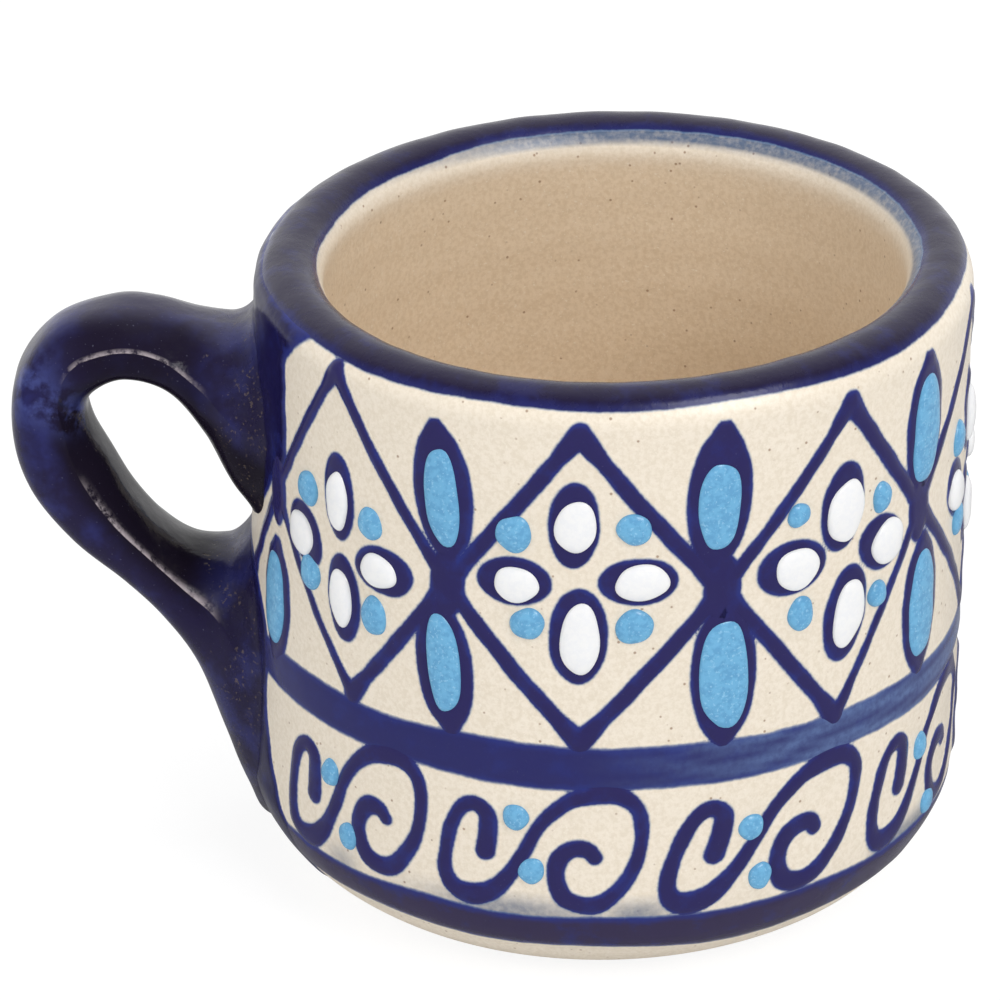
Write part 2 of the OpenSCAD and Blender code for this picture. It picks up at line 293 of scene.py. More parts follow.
def ring_faces(rings: int, sides: int, start: int = 0) -> list[list[int]]:
    """List the faces of a tube of rings.

    Args:
        rings: Number of rings.
        sides: Number of points on each ring.
        start: Number of the first ring's first point.

    Returns:
        Four point numbers for each face.
    """
    k = np.arange(sides)
    n = (k + 1) % sides
    low = start + np.arange(rings - 1)[:, None] * sides
    return np.stack([low + k, low + n, low + sides + n, low + sides + k], axis=-1).reshape(-1, 4).tolist()


def oval(width: float, length: float, tilt: float = 0.0) -> Shape:
    """Make an oval's signed distance.

    Args:
        width: Full width across.
        length: Full length along.
        tilt: Degrees that its length leans from upright, clockwise.

    Returns:
        Function of places across and up that is negative inside.
    """
    a = math.radians(tilt)
    half_w, half_l = width / 2.0, length / 2.0

    def shape(x: np.ndarray, y: np.ndarray) -> np.ndarray:
        """Give the signed distances.

        Args:
            x: Places across.
            y: Places up.

        Returns:
            Distances, negative inside.
        """
        along = (x * math.sin(a) + y * math.cos(a)) / half_l
        across = (x * math.cos(a) - y * math.sin(a)) / half_w
        reach = np.maximum(np.hypot(across, along), 1e-3)
        slope = np.hypot(across / half_w, along / half_l) / reach
        return np.maximum((reach - 1.0) / slope, -min(half_w, half_l))

    return shape


def pointed_oval(width: float, length: float, tilt: float = 0.0) -> Shape:
    """Make the signed distance of an oval with a soft point at each end.

    Args:
        width: Full width across.
        length: Full length along.
        tilt: Degrees that its length leans from upright, clockwise.

    Returns:
        Function of places across and up that is negative inside.
    """
    a = math.radians(tilt)
    r = (length**2 + width**2) / (4.0 * width)
    tip = 0.7

    def shape(x: np.ndarray, y: np.ndarray) -> np.ndarray:
        """Give the signed distances.

        Args:
            x: Places across.
            y: Places up.

        Returns:
            Distances, negative inside.
        """
        along = x * math.sin(a) + y * math.cos(a)
        across = np.abs(x * math.cos(a) - y * math.sin(a))
        side = np.hypot(across + r - width / 2.0, along) - r
        end = np.abs(along) - (length / 2.0 - tip)
        return np.maximum(side, end)

    return shape


def stroke(points: np.ndarray, widths: np.ndarray) -> Shape:
    """Make the signed distance of a trailed stroke.

    Args:
        points: Middle line, one row for each place across and up.
        widths: Full width at each point.

    Returns:
        Function of places across and up that is negative inside.
    """

    def shape(x: np.ndarray, y: np.ndarray) -> np.ndarray:
        """Give the signed distances.

        Args:
            x: Places across.
            y: Places up.

        Returns:
            Distances, negative inside.
        """
        best = np.full(np.broadcast(x, y).shape, FAR)
        for p, q, w0, w1 in zip(points[:-1], points[1:], widths[:-1], widths[1:]):
            d = q - p
            t = np.clip(((x - p[0]) * d[0] + (y - p[1]) * d[1]) / max(float(d @ d), 1e-9), 0.0, 1.0)
            gap = np.hypot(x - p[0] - t * d[0], y - p[1] - t * d[1])
            best = np.minimum(best, gap - (w0 + (w1 - w0) * t) / 2.0)
        return best

    return shape


@dataclass
class SlipMap:
    """Signed distances to the slip, on a fine net over the cup's outside and lip."""

    cup: CupForm
    columns: int = 840
    pitch: float = 0.3
    below_lip: float = 7.0
    radius: float = WALL_R

    def __post_init__(self) -> None:
        """Lay out the net."""
        top = self.cup.ends["lip"] + self.below_lip
        self.runs = np.linspace(0.0, top, int(top / self.pitch))
        self.turns = np.arange(self.columns) * 360.0 / self.columns - 180.0
        self.edge_ripple = 0.04 * Ripple(5.0, 3).at(self.turns[None, :], self.runs[:, None])
        self.edge_ripple += 0.008 * Ripple(1.8, 4, 9).at(self.turns[None, :], self.runs[:, None])

    def blank(self) -> np.ndarray:
        """Return a layer with nothing on it."""
        return np.full((len(self.runs), self.columns), FAR)

    def draw(self, layer: np.ndarray, turn: float, up: float, shape: Shape, reach: float) -> None:
        """Add a shape to a layer.

        Args:
            layer: Layer to draw on.
            turn: Angle of the shape's centre.
            up: Height of the shape's centre.
            shape: Signed distance in millimetres across and up from the centre.
            reach: Distance from the centre beyond which the shape isn't drawn.
        """
        run = float(self.cup.run_at(up))
        across = np.radians(wrapped(self.turns - turn)) * self.radius
        cols = np.nonzero(np.abs(across) < reach)[0]
        rows = np.nonzero(np.abs(self.runs - run) < reach)[0]
        spot = np.ix_(rows, cols)
        layer[spot] = np.minimum(layer[spot], shape(across[cols][None, :], (self.runs[rows] - run)[:, None]))

    def band(self, low: np.ndarray, high: np.ndarray) -> np.ndarray:
        """Return a layer that holds a band between two runs, given for each turn."""
        run = self.runs[:, None]
        return np.maximum(low[None, :] - run, run - high[None, :])

    def softened(self, layer: np.ndarray, width: float) -> np.ndarray:
        """Round the corners of what a layer holds, as a loaded brush does.

        Args:
            layer: Layer to soften.
            width: Width of the rounding in millimetres.

        Returns:
            The softened layer.
        """
        reach = int(3.0 * width / self.pitch)
        weights = np.exp(-0.5 * (np.arange(-reach, reach + 1) * self.pitch / width) ** 2)
        weights /= weights.sum()
        near = np.clip(layer, -4.0 * width, 4.0 * width)
        near = np.pad(near, ((reach, reach), (0, 0)), mode="edge")
        near = np.pad(near, ((0, 0), (reach, reach)), mode="wrap")
        near = sum(w * near[i : i + len(self.runs)] for i, w in enumerate(weights))
        return sum(w * near[:, i : i + self.columns] for i, w in enumerate(weights))

    def sample(self, layer: np.ndarray, turn: np.ndarray, run: np.ndarray) -> np.ndarray:
        """Read a layer between its net's points.

        Args:
            layer: Layer to read.
            turn: Angles round the cup in degrees.
            run: Runs along the profile.

        Returns:
            Signed distances, far ones where the net doesn't reach.
        """
        u = ((turn + 180.0) % 360.0) / 360.0 * self.columns
        v = np.clip(run / (self.runs[1] - self.runs[0]), 0.0, len(self.runs) - 1.001)
        i, j = np.floor(u).astype(int), np.floor(v).astype(int)
        fu, fv = u - i, v - j
        i0, i1 = i % self.columns, (i + 1) % self.columns
        low = layer[j, i0] * (1.0 - fu) + layer[j, i1] * fu
        high = layer[j + 1, i0] * (1.0 - fu) + layer[j + 1, i1] * fu
        value = low * (1.0 - fv) + high * fv
        return np.where((run < 0.0) | (run > self.runs[-1]), FAR, value)


@dataclass
class Sheet:
    """Piece of the net that lies inside a layer's edge: its places and its faces."""

    turn: np.ndarray
    run: np.ndarray
    depth: np.ndarray
    faces: list[list[int]]


def cut_sheet(slip_map: SlipMap, layer: np.ndarray) -> Sheet:
    """Cut the inside of a layer out of the net, with its edge at distance 0.

    Args:
        slip_map: Net that the layer lies on.
        layer: Signed distances.

    Returns:
        Sheet whose faces look outwards.
    """
    rows, cols = layer.shape
    flat = layer.ravel()
    j, i = np.meshgrid(np.arange(rows - 1), np.arange(cols), indexing="ij")
    right = (i + 1) % cols
    corner = [j * cols + i, j * cols + right, (j + 1) * cols + right, (j + 1) * cols + i]
    count = rows * cols
    side = [count + corner[0], 2 * count + corner[1], count + corner[3], 2 * count + corner[0]]
    inside = [flat[c] < 0.0 for c in corner]
    case = sum(flag.astype(int) << k for k, flag in enumerate(inside))
    loops: list[np.ndarray] = []
    for mask in range(1, 16):
        here = case == mask
        if not here.any():
            continue
        loop = []
        for k in range(4):
            in_now, in_next = bool(mask >> k & 1), bool(mask >> (k + 1) % 4 & 1)
            if in_now:
                loop.append(corner[k][here])
            if in_now != in_next:
                loop.append(side[k][here])
        loops.append(np.stack(loop, axis=1))
    used = np.unique(np.concatenate([loop.ravel() for loop in loops]))
    faces = [row for loop in loops for row in np.searchsorted(used, loop).tolist()]
    kind, base = used // count, used % count
    row, col = base // cols, (base % cols).astype(float)
    beside = row * cols + (base % cols + 1) % cols
    above = np.minimum(row + 1, rows - 1) * cols + base % cols
    here, there = flat[base], flat[np.where(kind == 1, beside, above)]
    share = np.where(kind == 0, 0.0, here / np.where(here == there, 1.0, here - there))
    turn = slip_map.turns[0] + (col + np.where(kind == 1, share, 0.0)) * (360.0 / cols)
    run = (row + np.where(kind == 2, share, 0.0)) * (slip_map.runs[1] - slip_map.runs[0])
    depth = np.where(kind == 0, -here, 0.0)
    return Sheet(turn, run, depth, faces)


def rim_edges(faces: list[list[int]]) -> list[tuple[int, int]]:
    """Find the open edges of a sheet.

    Args:
        faces: Its faces.

    Returns:
        The edges that only one face has, in that face's direction.
    """
    seen: dict[tuple[int, int], tuple[int, int]] = {}
    for face in faces:
        for a, b in zip(face, face[1:] + face[:1]):
            key = (min(a, b), max(a, b))
            if key in seen:
                del seen[key]
            else:
                seen[key] = (a, b)
    return list(seen.values())


@dataclass
class Piece:
    """A mesh in the making, in millimetres, with the values that its finish reads."""

    name: str
    points: np.ndarray
    faces: list[list[int]]
    values: dict[str, np.ndarray] = field(default_factory=dict)
    sharp_deg: float = 60.0

    def make(self, finish: bpy.types.Material, slot: Slot, *nodes: str) -> None:
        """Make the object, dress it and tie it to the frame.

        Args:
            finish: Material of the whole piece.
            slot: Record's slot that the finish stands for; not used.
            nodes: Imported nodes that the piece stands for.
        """
        mesh = bpy.data.meshes.new(self.name)
        mesh.from_pydata((self.points * MM).tolist(), [], self.faces)
        for key, value in self.values.items():
            attribute = mesh.attributes.new(key, "FLOAT", "POINT")
            attribute.data.foreach_set("value", value.astype(np.float32))
        mesh.polygons.foreach_set("use_smooth", [True] * len(mesh.polygons))
        mesh.set_sharp_from_angle(angle=math.radians(self.sharp_deg))
        mesh.materials.append(finish)
        mesh.update()
        piece = bpy.data.objects.new(self.name, mesh)
        bpy.context.scene.collection.objects.link(piece)
        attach(piece, "root")
        if nodes:
            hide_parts(*nodes)
        counts = len(mesh.vertices), len(mesh.polygons)
        LOG.info("%s: %d points, %d faces, stands for %s", self.name, *counts, nodes)


class Nodes:
    """Adds nodes to a tree and ties them together."""

    def __init__(self, tree: bpy.types.NodeTree) -> None:
        """Start on a tree."""
        self.tree = tree

    def put(self, kind: str, **settings: object) -> bpy.types.Node:
        """Add a node.

        Args:
            kind: Type of the node.
            settings: Properties that are set on it.

        Returns:
            The node.
        """
        node = self.tree.nodes.new(kind)
        for key, value in settings.items():
            setattr(node, key, value)
        return node

    def feed(self, socket: bpy.types.NodeSocket, value: object) -> None:
        """Link a socket to an output, or set it.

        Args:
            socket: Socket to feed.
            value: Output or plain value.
        """
        if isinstance(value, bpy.types.NodeSocket):
            self.tree.links.new(value, socket)
        else:
            socket.default_value = value

    def step(
        self, value: object, low: float, high: float, start: float = 0.0, end: float = 1.0,
        kind: str = "SMOOTHSTEP",
    ) -> bpy.types.NodeSocket:
        """Turn a value into a step.

        Args:
            value: Output or plain value.
            low: Value at which the step begins.
            high: Value at which it ends.
            start: Result at low and beyond.
            end: Result at high and beyond.
            kind: How the step runs between them.

        Returns:
            The result's output.
        """
        node = self.put("ShaderNodeMapRange", interpolation_type=kind)
        limits = (low, high, start, end) if low < high else (high, low, end, start)
        for key, number in zip(("From Min", "From Max", "To Min", "To Max"), limits):
            node.inputs[key].default_value = number
        self.feed(node.inputs["Value"], value)
        return node.outputs["Result"]

    def sum_up(self, operation: str, a: object, b: object = 0.0) -> bpy.types.NodeSocket:
        """Work out a sum, product or the like.

        Args:
            operation: Name of what is worked out.
            a: First output or plain value.
            b: Second output or plain value.

        Returns:
            The result's output.
        """
        node = self.put("ShaderNodeMath", operation=operation)
        self.feed(node.inputs[0], a)
        self.feed(node.inputs[1], b)
        return node.outputs[0]

    def shade(self, share: object, a: bpy.types.Node, b: bpy.types.Node) -> bpy.types.Node:
        """Mix two shaders.

        Args:
            share: Share of the second one.
            a: First shader.
            b: Second shader.

        Returns:
            The mixed shader.
        """
        node = self.put("ShaderNodeMixShader")
        for socket, value in zip(node.inputs, (share, a.outputs[0], b.outputs[0])):
            self.feed(socket, value)
        return node


class NodeBench(Nodes):
    """Lays out one material's nodes."""

    def __init__(self, name: str) -> None:
        """Start a material with its one shader.

        Args:
            name: Name of the material.
        """
        self.material = bpy.data.materials.new(name)
        self.material.use_nodes = True
        super().__init__(self.material.node_tree)
        self.shader = self.tree.nodes["Principled BSDF"]
        self.places = self.put("ShaderNodeTexCoord").outputs["Object"]

    def value(self, name: str) -> bpy.types.NodeSocket:
        """Return a value that the mesh carries."""
        return self.put("ShaderNodeAttribute", attribute_name=name).outputs["Fac"]

    def noise(self, size_mm: float, detail: float = 2.0, rough: float = 0.5) -> bpy.types.NodeSocket:
        """Lay noise over the piece.

        Args:
            size_mm: Size of its blotches.
            detail: How many finer layers it has.
            rough: How strong these are.

        Returns:
            Its output, of about 0.2 to 0.8.
        """
        node = self.put("ShaderNodeTexNoise")
        self.feed(node.inputs["Vector"], self.places)
        node.inputs["Scale"].default_value = 1.0 / (size_mm * MM)
        node.inputs["Detail"].default_value = detail
        node.inputs["Roughness"].default_value = rough
        return node.outputs["Fac"]

    def cells(self, size_mm: float) -> bpy.types.NodeSocket:
        """Scatter points over the piece.

        Args:
            size_mm: Distance between them.

        Returns:
            Distance to the nearest one, as a share of size_mm.
        """
        node = self.put("ShaderNodeTexVoronoi")
        self.feed(node.inputs["Vector"], self.places)
        node.inputs["Scale"].default_value = 1.0 / (size_mm * MM)
        return node.outputs["Distance"]

    def blend(self, share: object, a: object, b: object) -> bpy.types.NodeSocket:
        """Mix two colours.

        Args:
            share: Share of the second one.
            a: First colour or output.
            b: Second colour or output.

        Returns:
            The mixed colour's output.
        """
        node = self.put("ShaderNodeMix", data_type="RGBA")
        self.feed(node.inputs["Factor"], share)
        self.feed(node.inputs["A"], (*a, 1.0) if isinstance(a, tuple) else a)
        self.feed(node.inputs["B"], (*b, 1.0) if isinstance(b, tuple) else b)
        return node.outputs["Result"]

    def relief(self, height: object, depth_mm: float, strength: float = 1.0) -> None:
        """Bump the shader's normal.

        Args:
            height: Height's output.
            depth_mm: How high a height of 1 stands.
            strength: Strength of the bump.
        """
        node = self.put("ShaderNodeBump")
        self.feed(node.inputs["Height"], height)
        node.inputs["Distance"].default_value = depth_mm * MM
        node.inputs["Strength"].default_value = strength
        self.feed(self.shader.inputs["Normal"], node.outputs["Normal"])

    def wear(self, colour: object, rough: object) -> bpy.types.Material:
        """Give the shader its colour and roughness.

        Args:
            colour: Colour's output.
            rough: Roughness, or its output.

        Returns:
            The material.
        """
        self.feed(self.shader.inputs["Base Color"], colour)
        self.feed(self.shader.inputs["Roughness"], rough)
        return self.material


Colour = tuple[float, float, float]


@dataclass(frozen=True)
class ClayFinish:
    """Speckled beige stoneware under clear glaze, bare at the foot."""

    name: str
    pale: Colour = (0.86, 0.775, 0.655)
    dark: Colour = (0.78, 0.690, 0.560)
    warm: Colour = (0.80, 0.665, 0.500)
    warm_dark: Colour = (0.72, 0.580, 0.415)
    light: Colour = (0.90, 0.83, 0.72)
    speck: Colour = (0.30, 0.17, 0.09)
    wash: Colour = (0.105, 0.145, 0.230)
    gloss: float = 0.30
    bare_rough: float = 0.75

    def body(self, bench: NodeBench) -> bpy.types.NodeSocket:
        """Return the clay's colour, with its specks and any thin wash of slip on it.

        Args:
            bench: Material that it is laid out on.

        Returns:
            Colour output.
        """
        coarse = bench.step(bench.noise(0.55, 3.0, 0.65), 0.36, 0.66)
        outside = bench.blend(coarse, self.pale, self.dark)
        outside = bench.blend(bench.step(bench.noise(14.0, 3.0), 0.35, 0.75, 0.0, 0.22), outside, self.dark)
        colour = bench.blend(bench.value("inside"), outside, bench.blend(coarse, self.warm, self.warm_dark))
        colour = bench.blend(bench.step(bench.noise(0.30, 1.0), 0.66, 0.74, 0.0, 0.5), colour, self.light)
        chosen = bench.step(bench.noise(3.0, 1.0), 0.50, 0.56)
        specks = bench.sum_up("MULTIPLY", chosen, bench.step(bench.cells(1.5), 0.15, 0.06, 0.0, 0.75))
        colour = bench.blend(specks, colour, self.speck)
        streaks = bench.step(bench.noise(0.7, 3.0, 0.6), 0.25, 0.65, 0.75, 1.0)
        return bench.blend(bench.sum_up("MULTIPLY", bench.value("wash"), streaks), colour, self.wash)

    def material(self) -> bpy.types.Material:
        """Lay out the material.

        Returns:
            The finished material.
        """
        bench = NodeBench(self.name)
        rough = bench.step(bench.value("bare"), 0.0, 1.0, self.gloss, self.bare_rough)
        bench.relief(bench.noise(0.7, 4.0, 0.6), 0.05)
        return bench.wear(self.body(bench), rough)


CLAY = ClayFinish("speckled_clay")


@dataclass(frozen=True)
class CobaltFinish:
    """Cobalt slip under glaze: deep in the middle, bleeding blue into the clay at its edges."""

    name: str
    deep: Colour = (0.027, 0.023, 0.108)
    blue: Colour = (0.025, 0.034, 0.190)
    pale: Colour = (0.100, 0.155, 0.330)
    bleed: Colour = (0.110, 0.200, 0.360)
    dust: Colour = (0.10, 0.11, 0.22)
    edge_w: float = 0.55
    feather: float = 0.12
    gloss: float = 0.16
    shine: float = 0.36

    def body(self, bench: NodeBench, depth: object) -> bpy.types.NodeSocket:
        """Return the slip's colour.

        Args:
            bench: Material that it is laid out on.
            depth: Distance into the slip from its edge in millimetres.

        Returns:
            Colour output.
        """
        cloud = bench.noise(3.5, 4.0, 0.6)
        cover = bench.sum_up("ADD", depth, bench.step(cloud, 0.35, 0.75, 0.15, -0.25))
        colour = bench.blend(bench.step(cover, 0.0, self.edge_w), self.blue, self.deep)
        colour = bench.blend(bench.step(cloud, 0.50, 0.72, 0.0, 0.45), colour, self.blue)
        colour = bench.blend(bench.step(bench.noise(0.30, 2.0), 0.70, 0.80, 0.0, 0.25), colour, self.dust)
        thin = bench.step(bench.noise(0.8, 4.0, 0.6), 0.2, 0.7, 0.5, 1.0)
        return bench.blend(bench.sum_up("MULTIPLY", bench.value("faded"), thin), colour, self.pale)

    def material(self) -> bpy.types.Material:
        """Lay out the material.

        Returns:
            The finished material.
        """
        bench = NodeBench(self.name)
        depth = bench.value("depth_mm")
        soft = bench.sum_up("ADD", depth, bench.step(bench.noise(0.6, 2.0), 0.3, 0.7, -0.03, 0.03))
        colour = bench.blend(bench.step(soft, -0.28, 0.05, 0.0, 0.75), CLAY.body(bench), self.bleed)
        colour = bench.blend(bench.step(soft, -self.feather, self.feather), colour, self.body(bench, depth))
        bench.relief(bench.noise(0.9, 3.0, 0.6), 0.04)
        bench.feed(bench.shader.inputs["Specular IOR Level"], self.shine)
        return bench.wear(colour, bench.step(bench.noise(2.0, 3.0), 0.3, 0.7, self.gloss, self.gloss + 0.08))


TRAIL = CobaltFinish("trailed_cobalt")
WAIST = replace(TRAIL, name="brushed_cobalt", deep=(0.026, 0.027, 0.130), edge_w=1.0, feather=0.26)
FOOT = replace(TRAIL, name="thin_cobalt", deep=(0.038, 0.029, 0.080), edge_w=1.2, feather=0.26)
WELD = replace(TRAIL, name="weld_cobalt", deep=(0.010, 0.008, 0.055), edge_w=0.9, shine=0.2)
LIP = replace(
    TRAIL, name="lip_cobalt", deep=(0.012, 0.008, 0.034), blue=(0.018, 0.021, 0.120), edge_w=1.3, gloss=0.22,
    shine=0.34,
)


@dataclass(frozen=True)
class EnamelFinish:
    """Glossy raised enamel, mottled with paler flecks."""

    name: str
    body: Colour
    fleck: Colour
    deeper_tone: Colour
    gloss: float = 0.16

    def material(self) -> bpy.types.Material:
        """Lay out the material.

        Returns:
            The finished material.
        """
        bench = NodeBench(self.name)
        mottle = bench.noise(0.8, 3.0, 0.6)
        colour = bench.blend(bench.step(mottle, 0.40, 0.62), self.body, self.deeper_tone)
        fleck = bench.step(bench.noise(0.32, 2.0), 0.58, 0.70, 0.0, 0.6)
        colour = bench.blend(fleck, colour, self.fleck)
        rim = bench.step(bench.value("depth_mm"), 0.35, 0.0, 0.0, 0.5)
        colour = bench.blend(rim, colour, self.deeper_tone)
        bench.relief(bench.noise(1.1, 2.0), 0.02)
        return bench.wear(colour, bench.step(mottle, 0.3, 0.7, self.gloss, self.gloss + 0.08))


WHITE = EnamelFinish("white_enamel", (0.88, 0.88, 0.88), (0.90, 0.90, 0.90), (0.85, 0.855, 0.87))
SKY = EnamelFinish("sky_enamel", (0.165, 0.440, 0.690), (0.330, 0.620, 0.820), (0.125, 0.360, 0.610))


@dataclass(frozen=True)
class HandleFinish:
    """Cobalt glaze over the handle: pale clay shows through wear along its creases, and that pale colour also
    paints a highlight there; shade is painted on the loop's inner side and on the upper arm's front slope; it
    is gritty at its roots.
    """

    name: str
    deep: Colour = (0.015, 0.011, 0.046)
    blue: Colour = (0.024, 0.026, 0.125)
    # Painted shade: near-black colour put on the loop's inner side and on the upper arm's front slope.
    deeper_tone: Colour = (0.011, 0.008, 0.017)
    pale: Colour = (0.055, 0.070, 0.24)
    # Pale clay where the glaze wore thin on the ridges; this colour also paints the ridges' highlight.
    worn_and_highlight: Colour = (0.52, 0.45, 0.48)
    grit: Colour = (0.20, 0.15, 0.11)
    dust: Colour = (0.16, 0.16, 0.24)
    gloss: float = 0.09
    shine: float = 0.45
    # Specular level where the shade is painted.
    shade_shine: float = 0.35 * 0.45

    def material(self) -> bpy.types.Material:
        """Lay out the material.

        Returns:
            The finished material.
        """
        bench = NodeBench(self.name)
        # The value read first marks where shade is painted: the loop's inner side and the upper arm's front
        # slope.
        deeper_tone, root = bench.value("deeper_tone"), bench.value("root")
        colour = bench.blend(bench.step(bench.noise(7.0, 4.0, 0.6), 0.42, 0.68), self.deep, self.blue)
        # Painted shade: blend towards near-black where that value is high.
        colour = bench.blend(deeper_tone, colour, self.deeper_tone)
        patch = bench.step(bench.noise(3.0, 4.0, 0.6), 0.35, 0.6)
        colour = bench.blend(bench.sum_up("MULTIPLY", bench.value("thin"), patch), colour, self.pale)
        colour = bench.blend(bench.step(bench.noise(0.28, 1.0), 0.72, 0.80, 0.0, 0.30), colour, self.dust)
        # Pale wear along the ridges, which also paints a highlight on them.
        chips = bench.step(bench.noise(1.6, 4.0, 0.7), 0.36, 0.60)
        rub_and_highlight = bench.sum_up("MULTIPLY", bench.value("crease"), chips)
        colour = bench.blend(rub_and_highlight, colour, self.worn_and_highlight)
        chosen = bench.sum_up("ADD", bench.noise(4.0, 2.0), bench.step(root, 0.1, 0.9, -0.16, 0.08))
        chosen = bench.step(chosen, 0.52, 0.62)
        pits = bench.sum_up("MULTIPLY", chosen, bench.step(bench.noise(0.45, 2.0), 0.60, 0.68, 0.0, 0.4))
        colour = bench.blend(pits, colour, self.grit)
        lumps = bench.sum_up("SUBTRACT", bench.noise(1.8, 3.0), bench.sum_up("ADD", pits, rub_and_highlight))
        bench.relief(lumps, 0.10, 0.8)
        # Less specular where the shade is painted.
        shine = bench.step(deeper_tone, 0.0, 1.0, self.shine, self.shade_shine)
        bench.feed(bench.shader.inputs["Specular IOR Level"], shine)
        polish = bench.step(bench.noise(1.5, 3.0), 0.3, 0.7, self.gloss, self.gloss + 0.10)
        dull = bench.sum_up("ADD", bench.sum_up("MULTIPLY", rub_and_highlight, 0.25), bench.step(root, 0.2, 0.9, 0.0, 0.15))
        return bench.wear(colour, bench.sum_up("ADD", polish, dull))


@dataclass(frozen=True)
class Drop:
    """One drop of enamel: its place from the motif's centre, its size and its lean."""

    across: float
    up: float
    width: float
    length: float
    tilt: float = 0.0


@dataclass(frozen=True)
class Petal(Drop):
    """A white petal with its slip rim: how much the rim is longer and wider, and its shift."""

    rim_wide: float = 1.8
    rim_long: float = 3.4
    shift_across: float = 0.0
    shift_up: float = 0.0


@dataclass(frozen=True)
class Flower:
    """Four petals and four dots, drawn round a centre."""

    petals: tuple[Petal, ...]
    dots: tuple[Drop, ...]


LEFT_FLOWER = Flower(
    petals=(
        Petal(-0.9, 4.9, 3.3, 7.2, -5.0, 1.6, 3.4, 0.0, 0.5),
        Petal(-7.4, -1.7, 4.3, 5.4, -32.0, 1.6, 2.6, 0.5, 0.1),
        Petal(0.0, -6.8, 3.5, 6.7, -6.0, 1.7, 3.8, 0.2, 0.0),
        Petal(5.5, -1.6, 5.2, 3.9, 0.0, 3.0, 1.8, 0.5, 0.1),
    ),
    dots=(
        Drop(-6.5, 4.2, 3.7, 4.3), Drop(4.0, 3.7, 3.4, 4.0),
        Drop(-5.7, -5.9, 3.6, 4.3), Drop(4.8, -7.4, 3.7, 4.6),
    ),
)
FRONT_FLOWER = Flower(
    petals=(
        Petal(-0.4, 7.2, 4.5, 6.3, 0.0, 1.1, 4.0, -0.2, 0.1),
        Petal(-6.7, -0.3, 5.2, 4.2, 0.0, 3.2, 1.6, -0.3, 0.3),
        Petal(6.9, 0.5, 5.8, 4.5, 0.0, 2.9, 1.2, -0.4, 0.0),
        Petal(0.4, -6.4, 4.5, 8.4, 0.0, 1.9, 3.2, -0.2, 0.3),
    ),
    dots=(
        Drop(-7.2, 5.7, 4.2, 4.4), Drop(5.9, 6.9, 3.9, 3.8),
        Drop(-5.4, -5.0, 3.9, 3.8), Drop(6.2, -4.9, 4.3, 4.1),
    ),
)
RIGHT_FLOWER = Flower(
    petals=(
        Petal(-0.1, 5.7, 4.9, 7.6, 6.0, 1.0, 3.0, -0.3, 0.6),
        Petal(-6.3, 0.5, 5.6, 4.9, 0.0, 3.0, 1.6, -0.6, 0.2),
        Petal(6.6, -0.3, 5.4, 5.2, 30.0, 2.2, 1.2, -0.8, 0.2),
        Petal(0.8, -7.0, 4.2, 8.3, 8.0, 1.8, 3.2, -0.3, 0.1),
    ),
    dots=(
        Drop(-6.3, 6.9, 2.9, 2.8), Drop(5.5, 5.4, 3.0, 3.7),
        Drop(-5.6, -5.2, 3.3, 4.2), Drop(5.3, -6.3, 2.9, 3.3),
    ),
)


@dataclass
class Motifs:
    """Where the painter put the diamonds, flowers, leaves and scrolls round the cup.

    Crossings, tops and bottoms are (turn, height). The first four crossings and the first three
    flowers face the front, and the rest carry on round the back at about the same pitch. A diamond's
    line widths are its upper left, lower left, upper right and lower right side, and a line is wider
    by join_w where it meets others. Stubs run from the outer crossings under the handle's paint, and
    knots are the ovals of slip on the crossings.
    """

    line_w: tuple[tuple[float, ...], ...] = (
        (1.5, 1.2, 1.5, 1.8), (1.9, 1.9, 1.9, 1.9), (1.6, 1.8, 1.9, 1.3), (1.8, 1.7, 1.6, 1.8),
    )
    crossings: tuple[tuple[float, float], ...] = (
        (-65.4, 53.0), (-25.8, 51.4), (17.4, 51.8), (56.8, 53.6),
        (103.0, 52.0), (146.5, 51.6), (190.0, 52.4), (234.0, 52.8),
    )
    tops: tuple[tuple[float, float], ...] = (
        (-48.8, 72.6), (-5.3, 71.2), (39.0, 70.6), (81.0, 71.4), (125.0, 71.0), (168.5, 71.6), (212.0, 71.2),
    )
    bottoms: tuple[tuple[float, float], ...] = (
        (-43.5, 34.0), (-4.0, 34.0), (38.2, 32.6), (82.0, 33.4), (124.5, 33.8), (168.0, 33.2), (212.5, 33.6),
    )
    centres: tuple[tuple[float, float], ...] = (
        (-46.1, 52.0), (-4.9, 53.0), (38.8, 52.0), (82.0, 52.4), (124.8, 52.0), (168.3, 52.6), (212.2, 52.2),
    )
    flowers: tuple[Flower, ...] = (
        LEFT_FLOWER, FRONT_FLOWER, RIGHT_FLOWER, LEFT_FLOWER, FRONT_FLOWER, RIGHT_FLOWER, FRONT_FLOWER,
    )
    join_w: float = 0.8
    stubs: tuple[tuple[float, float], ...] = ((-12.0, -13.4), (16.8, -18.0))
    stub_w: float = 1.6
    knot: tuple[float, float] = (4.2, 9.2)


@dataclass(frozen=True)
class Leaf:
    """A blue leaf beside a crossing: place, size, lean, and its rim's size and shift up."""

    turn: float
    up: float
    width: float
    length: float
    tilt: float
    rim_w: float
    rim_l: float
    rim_shift: float


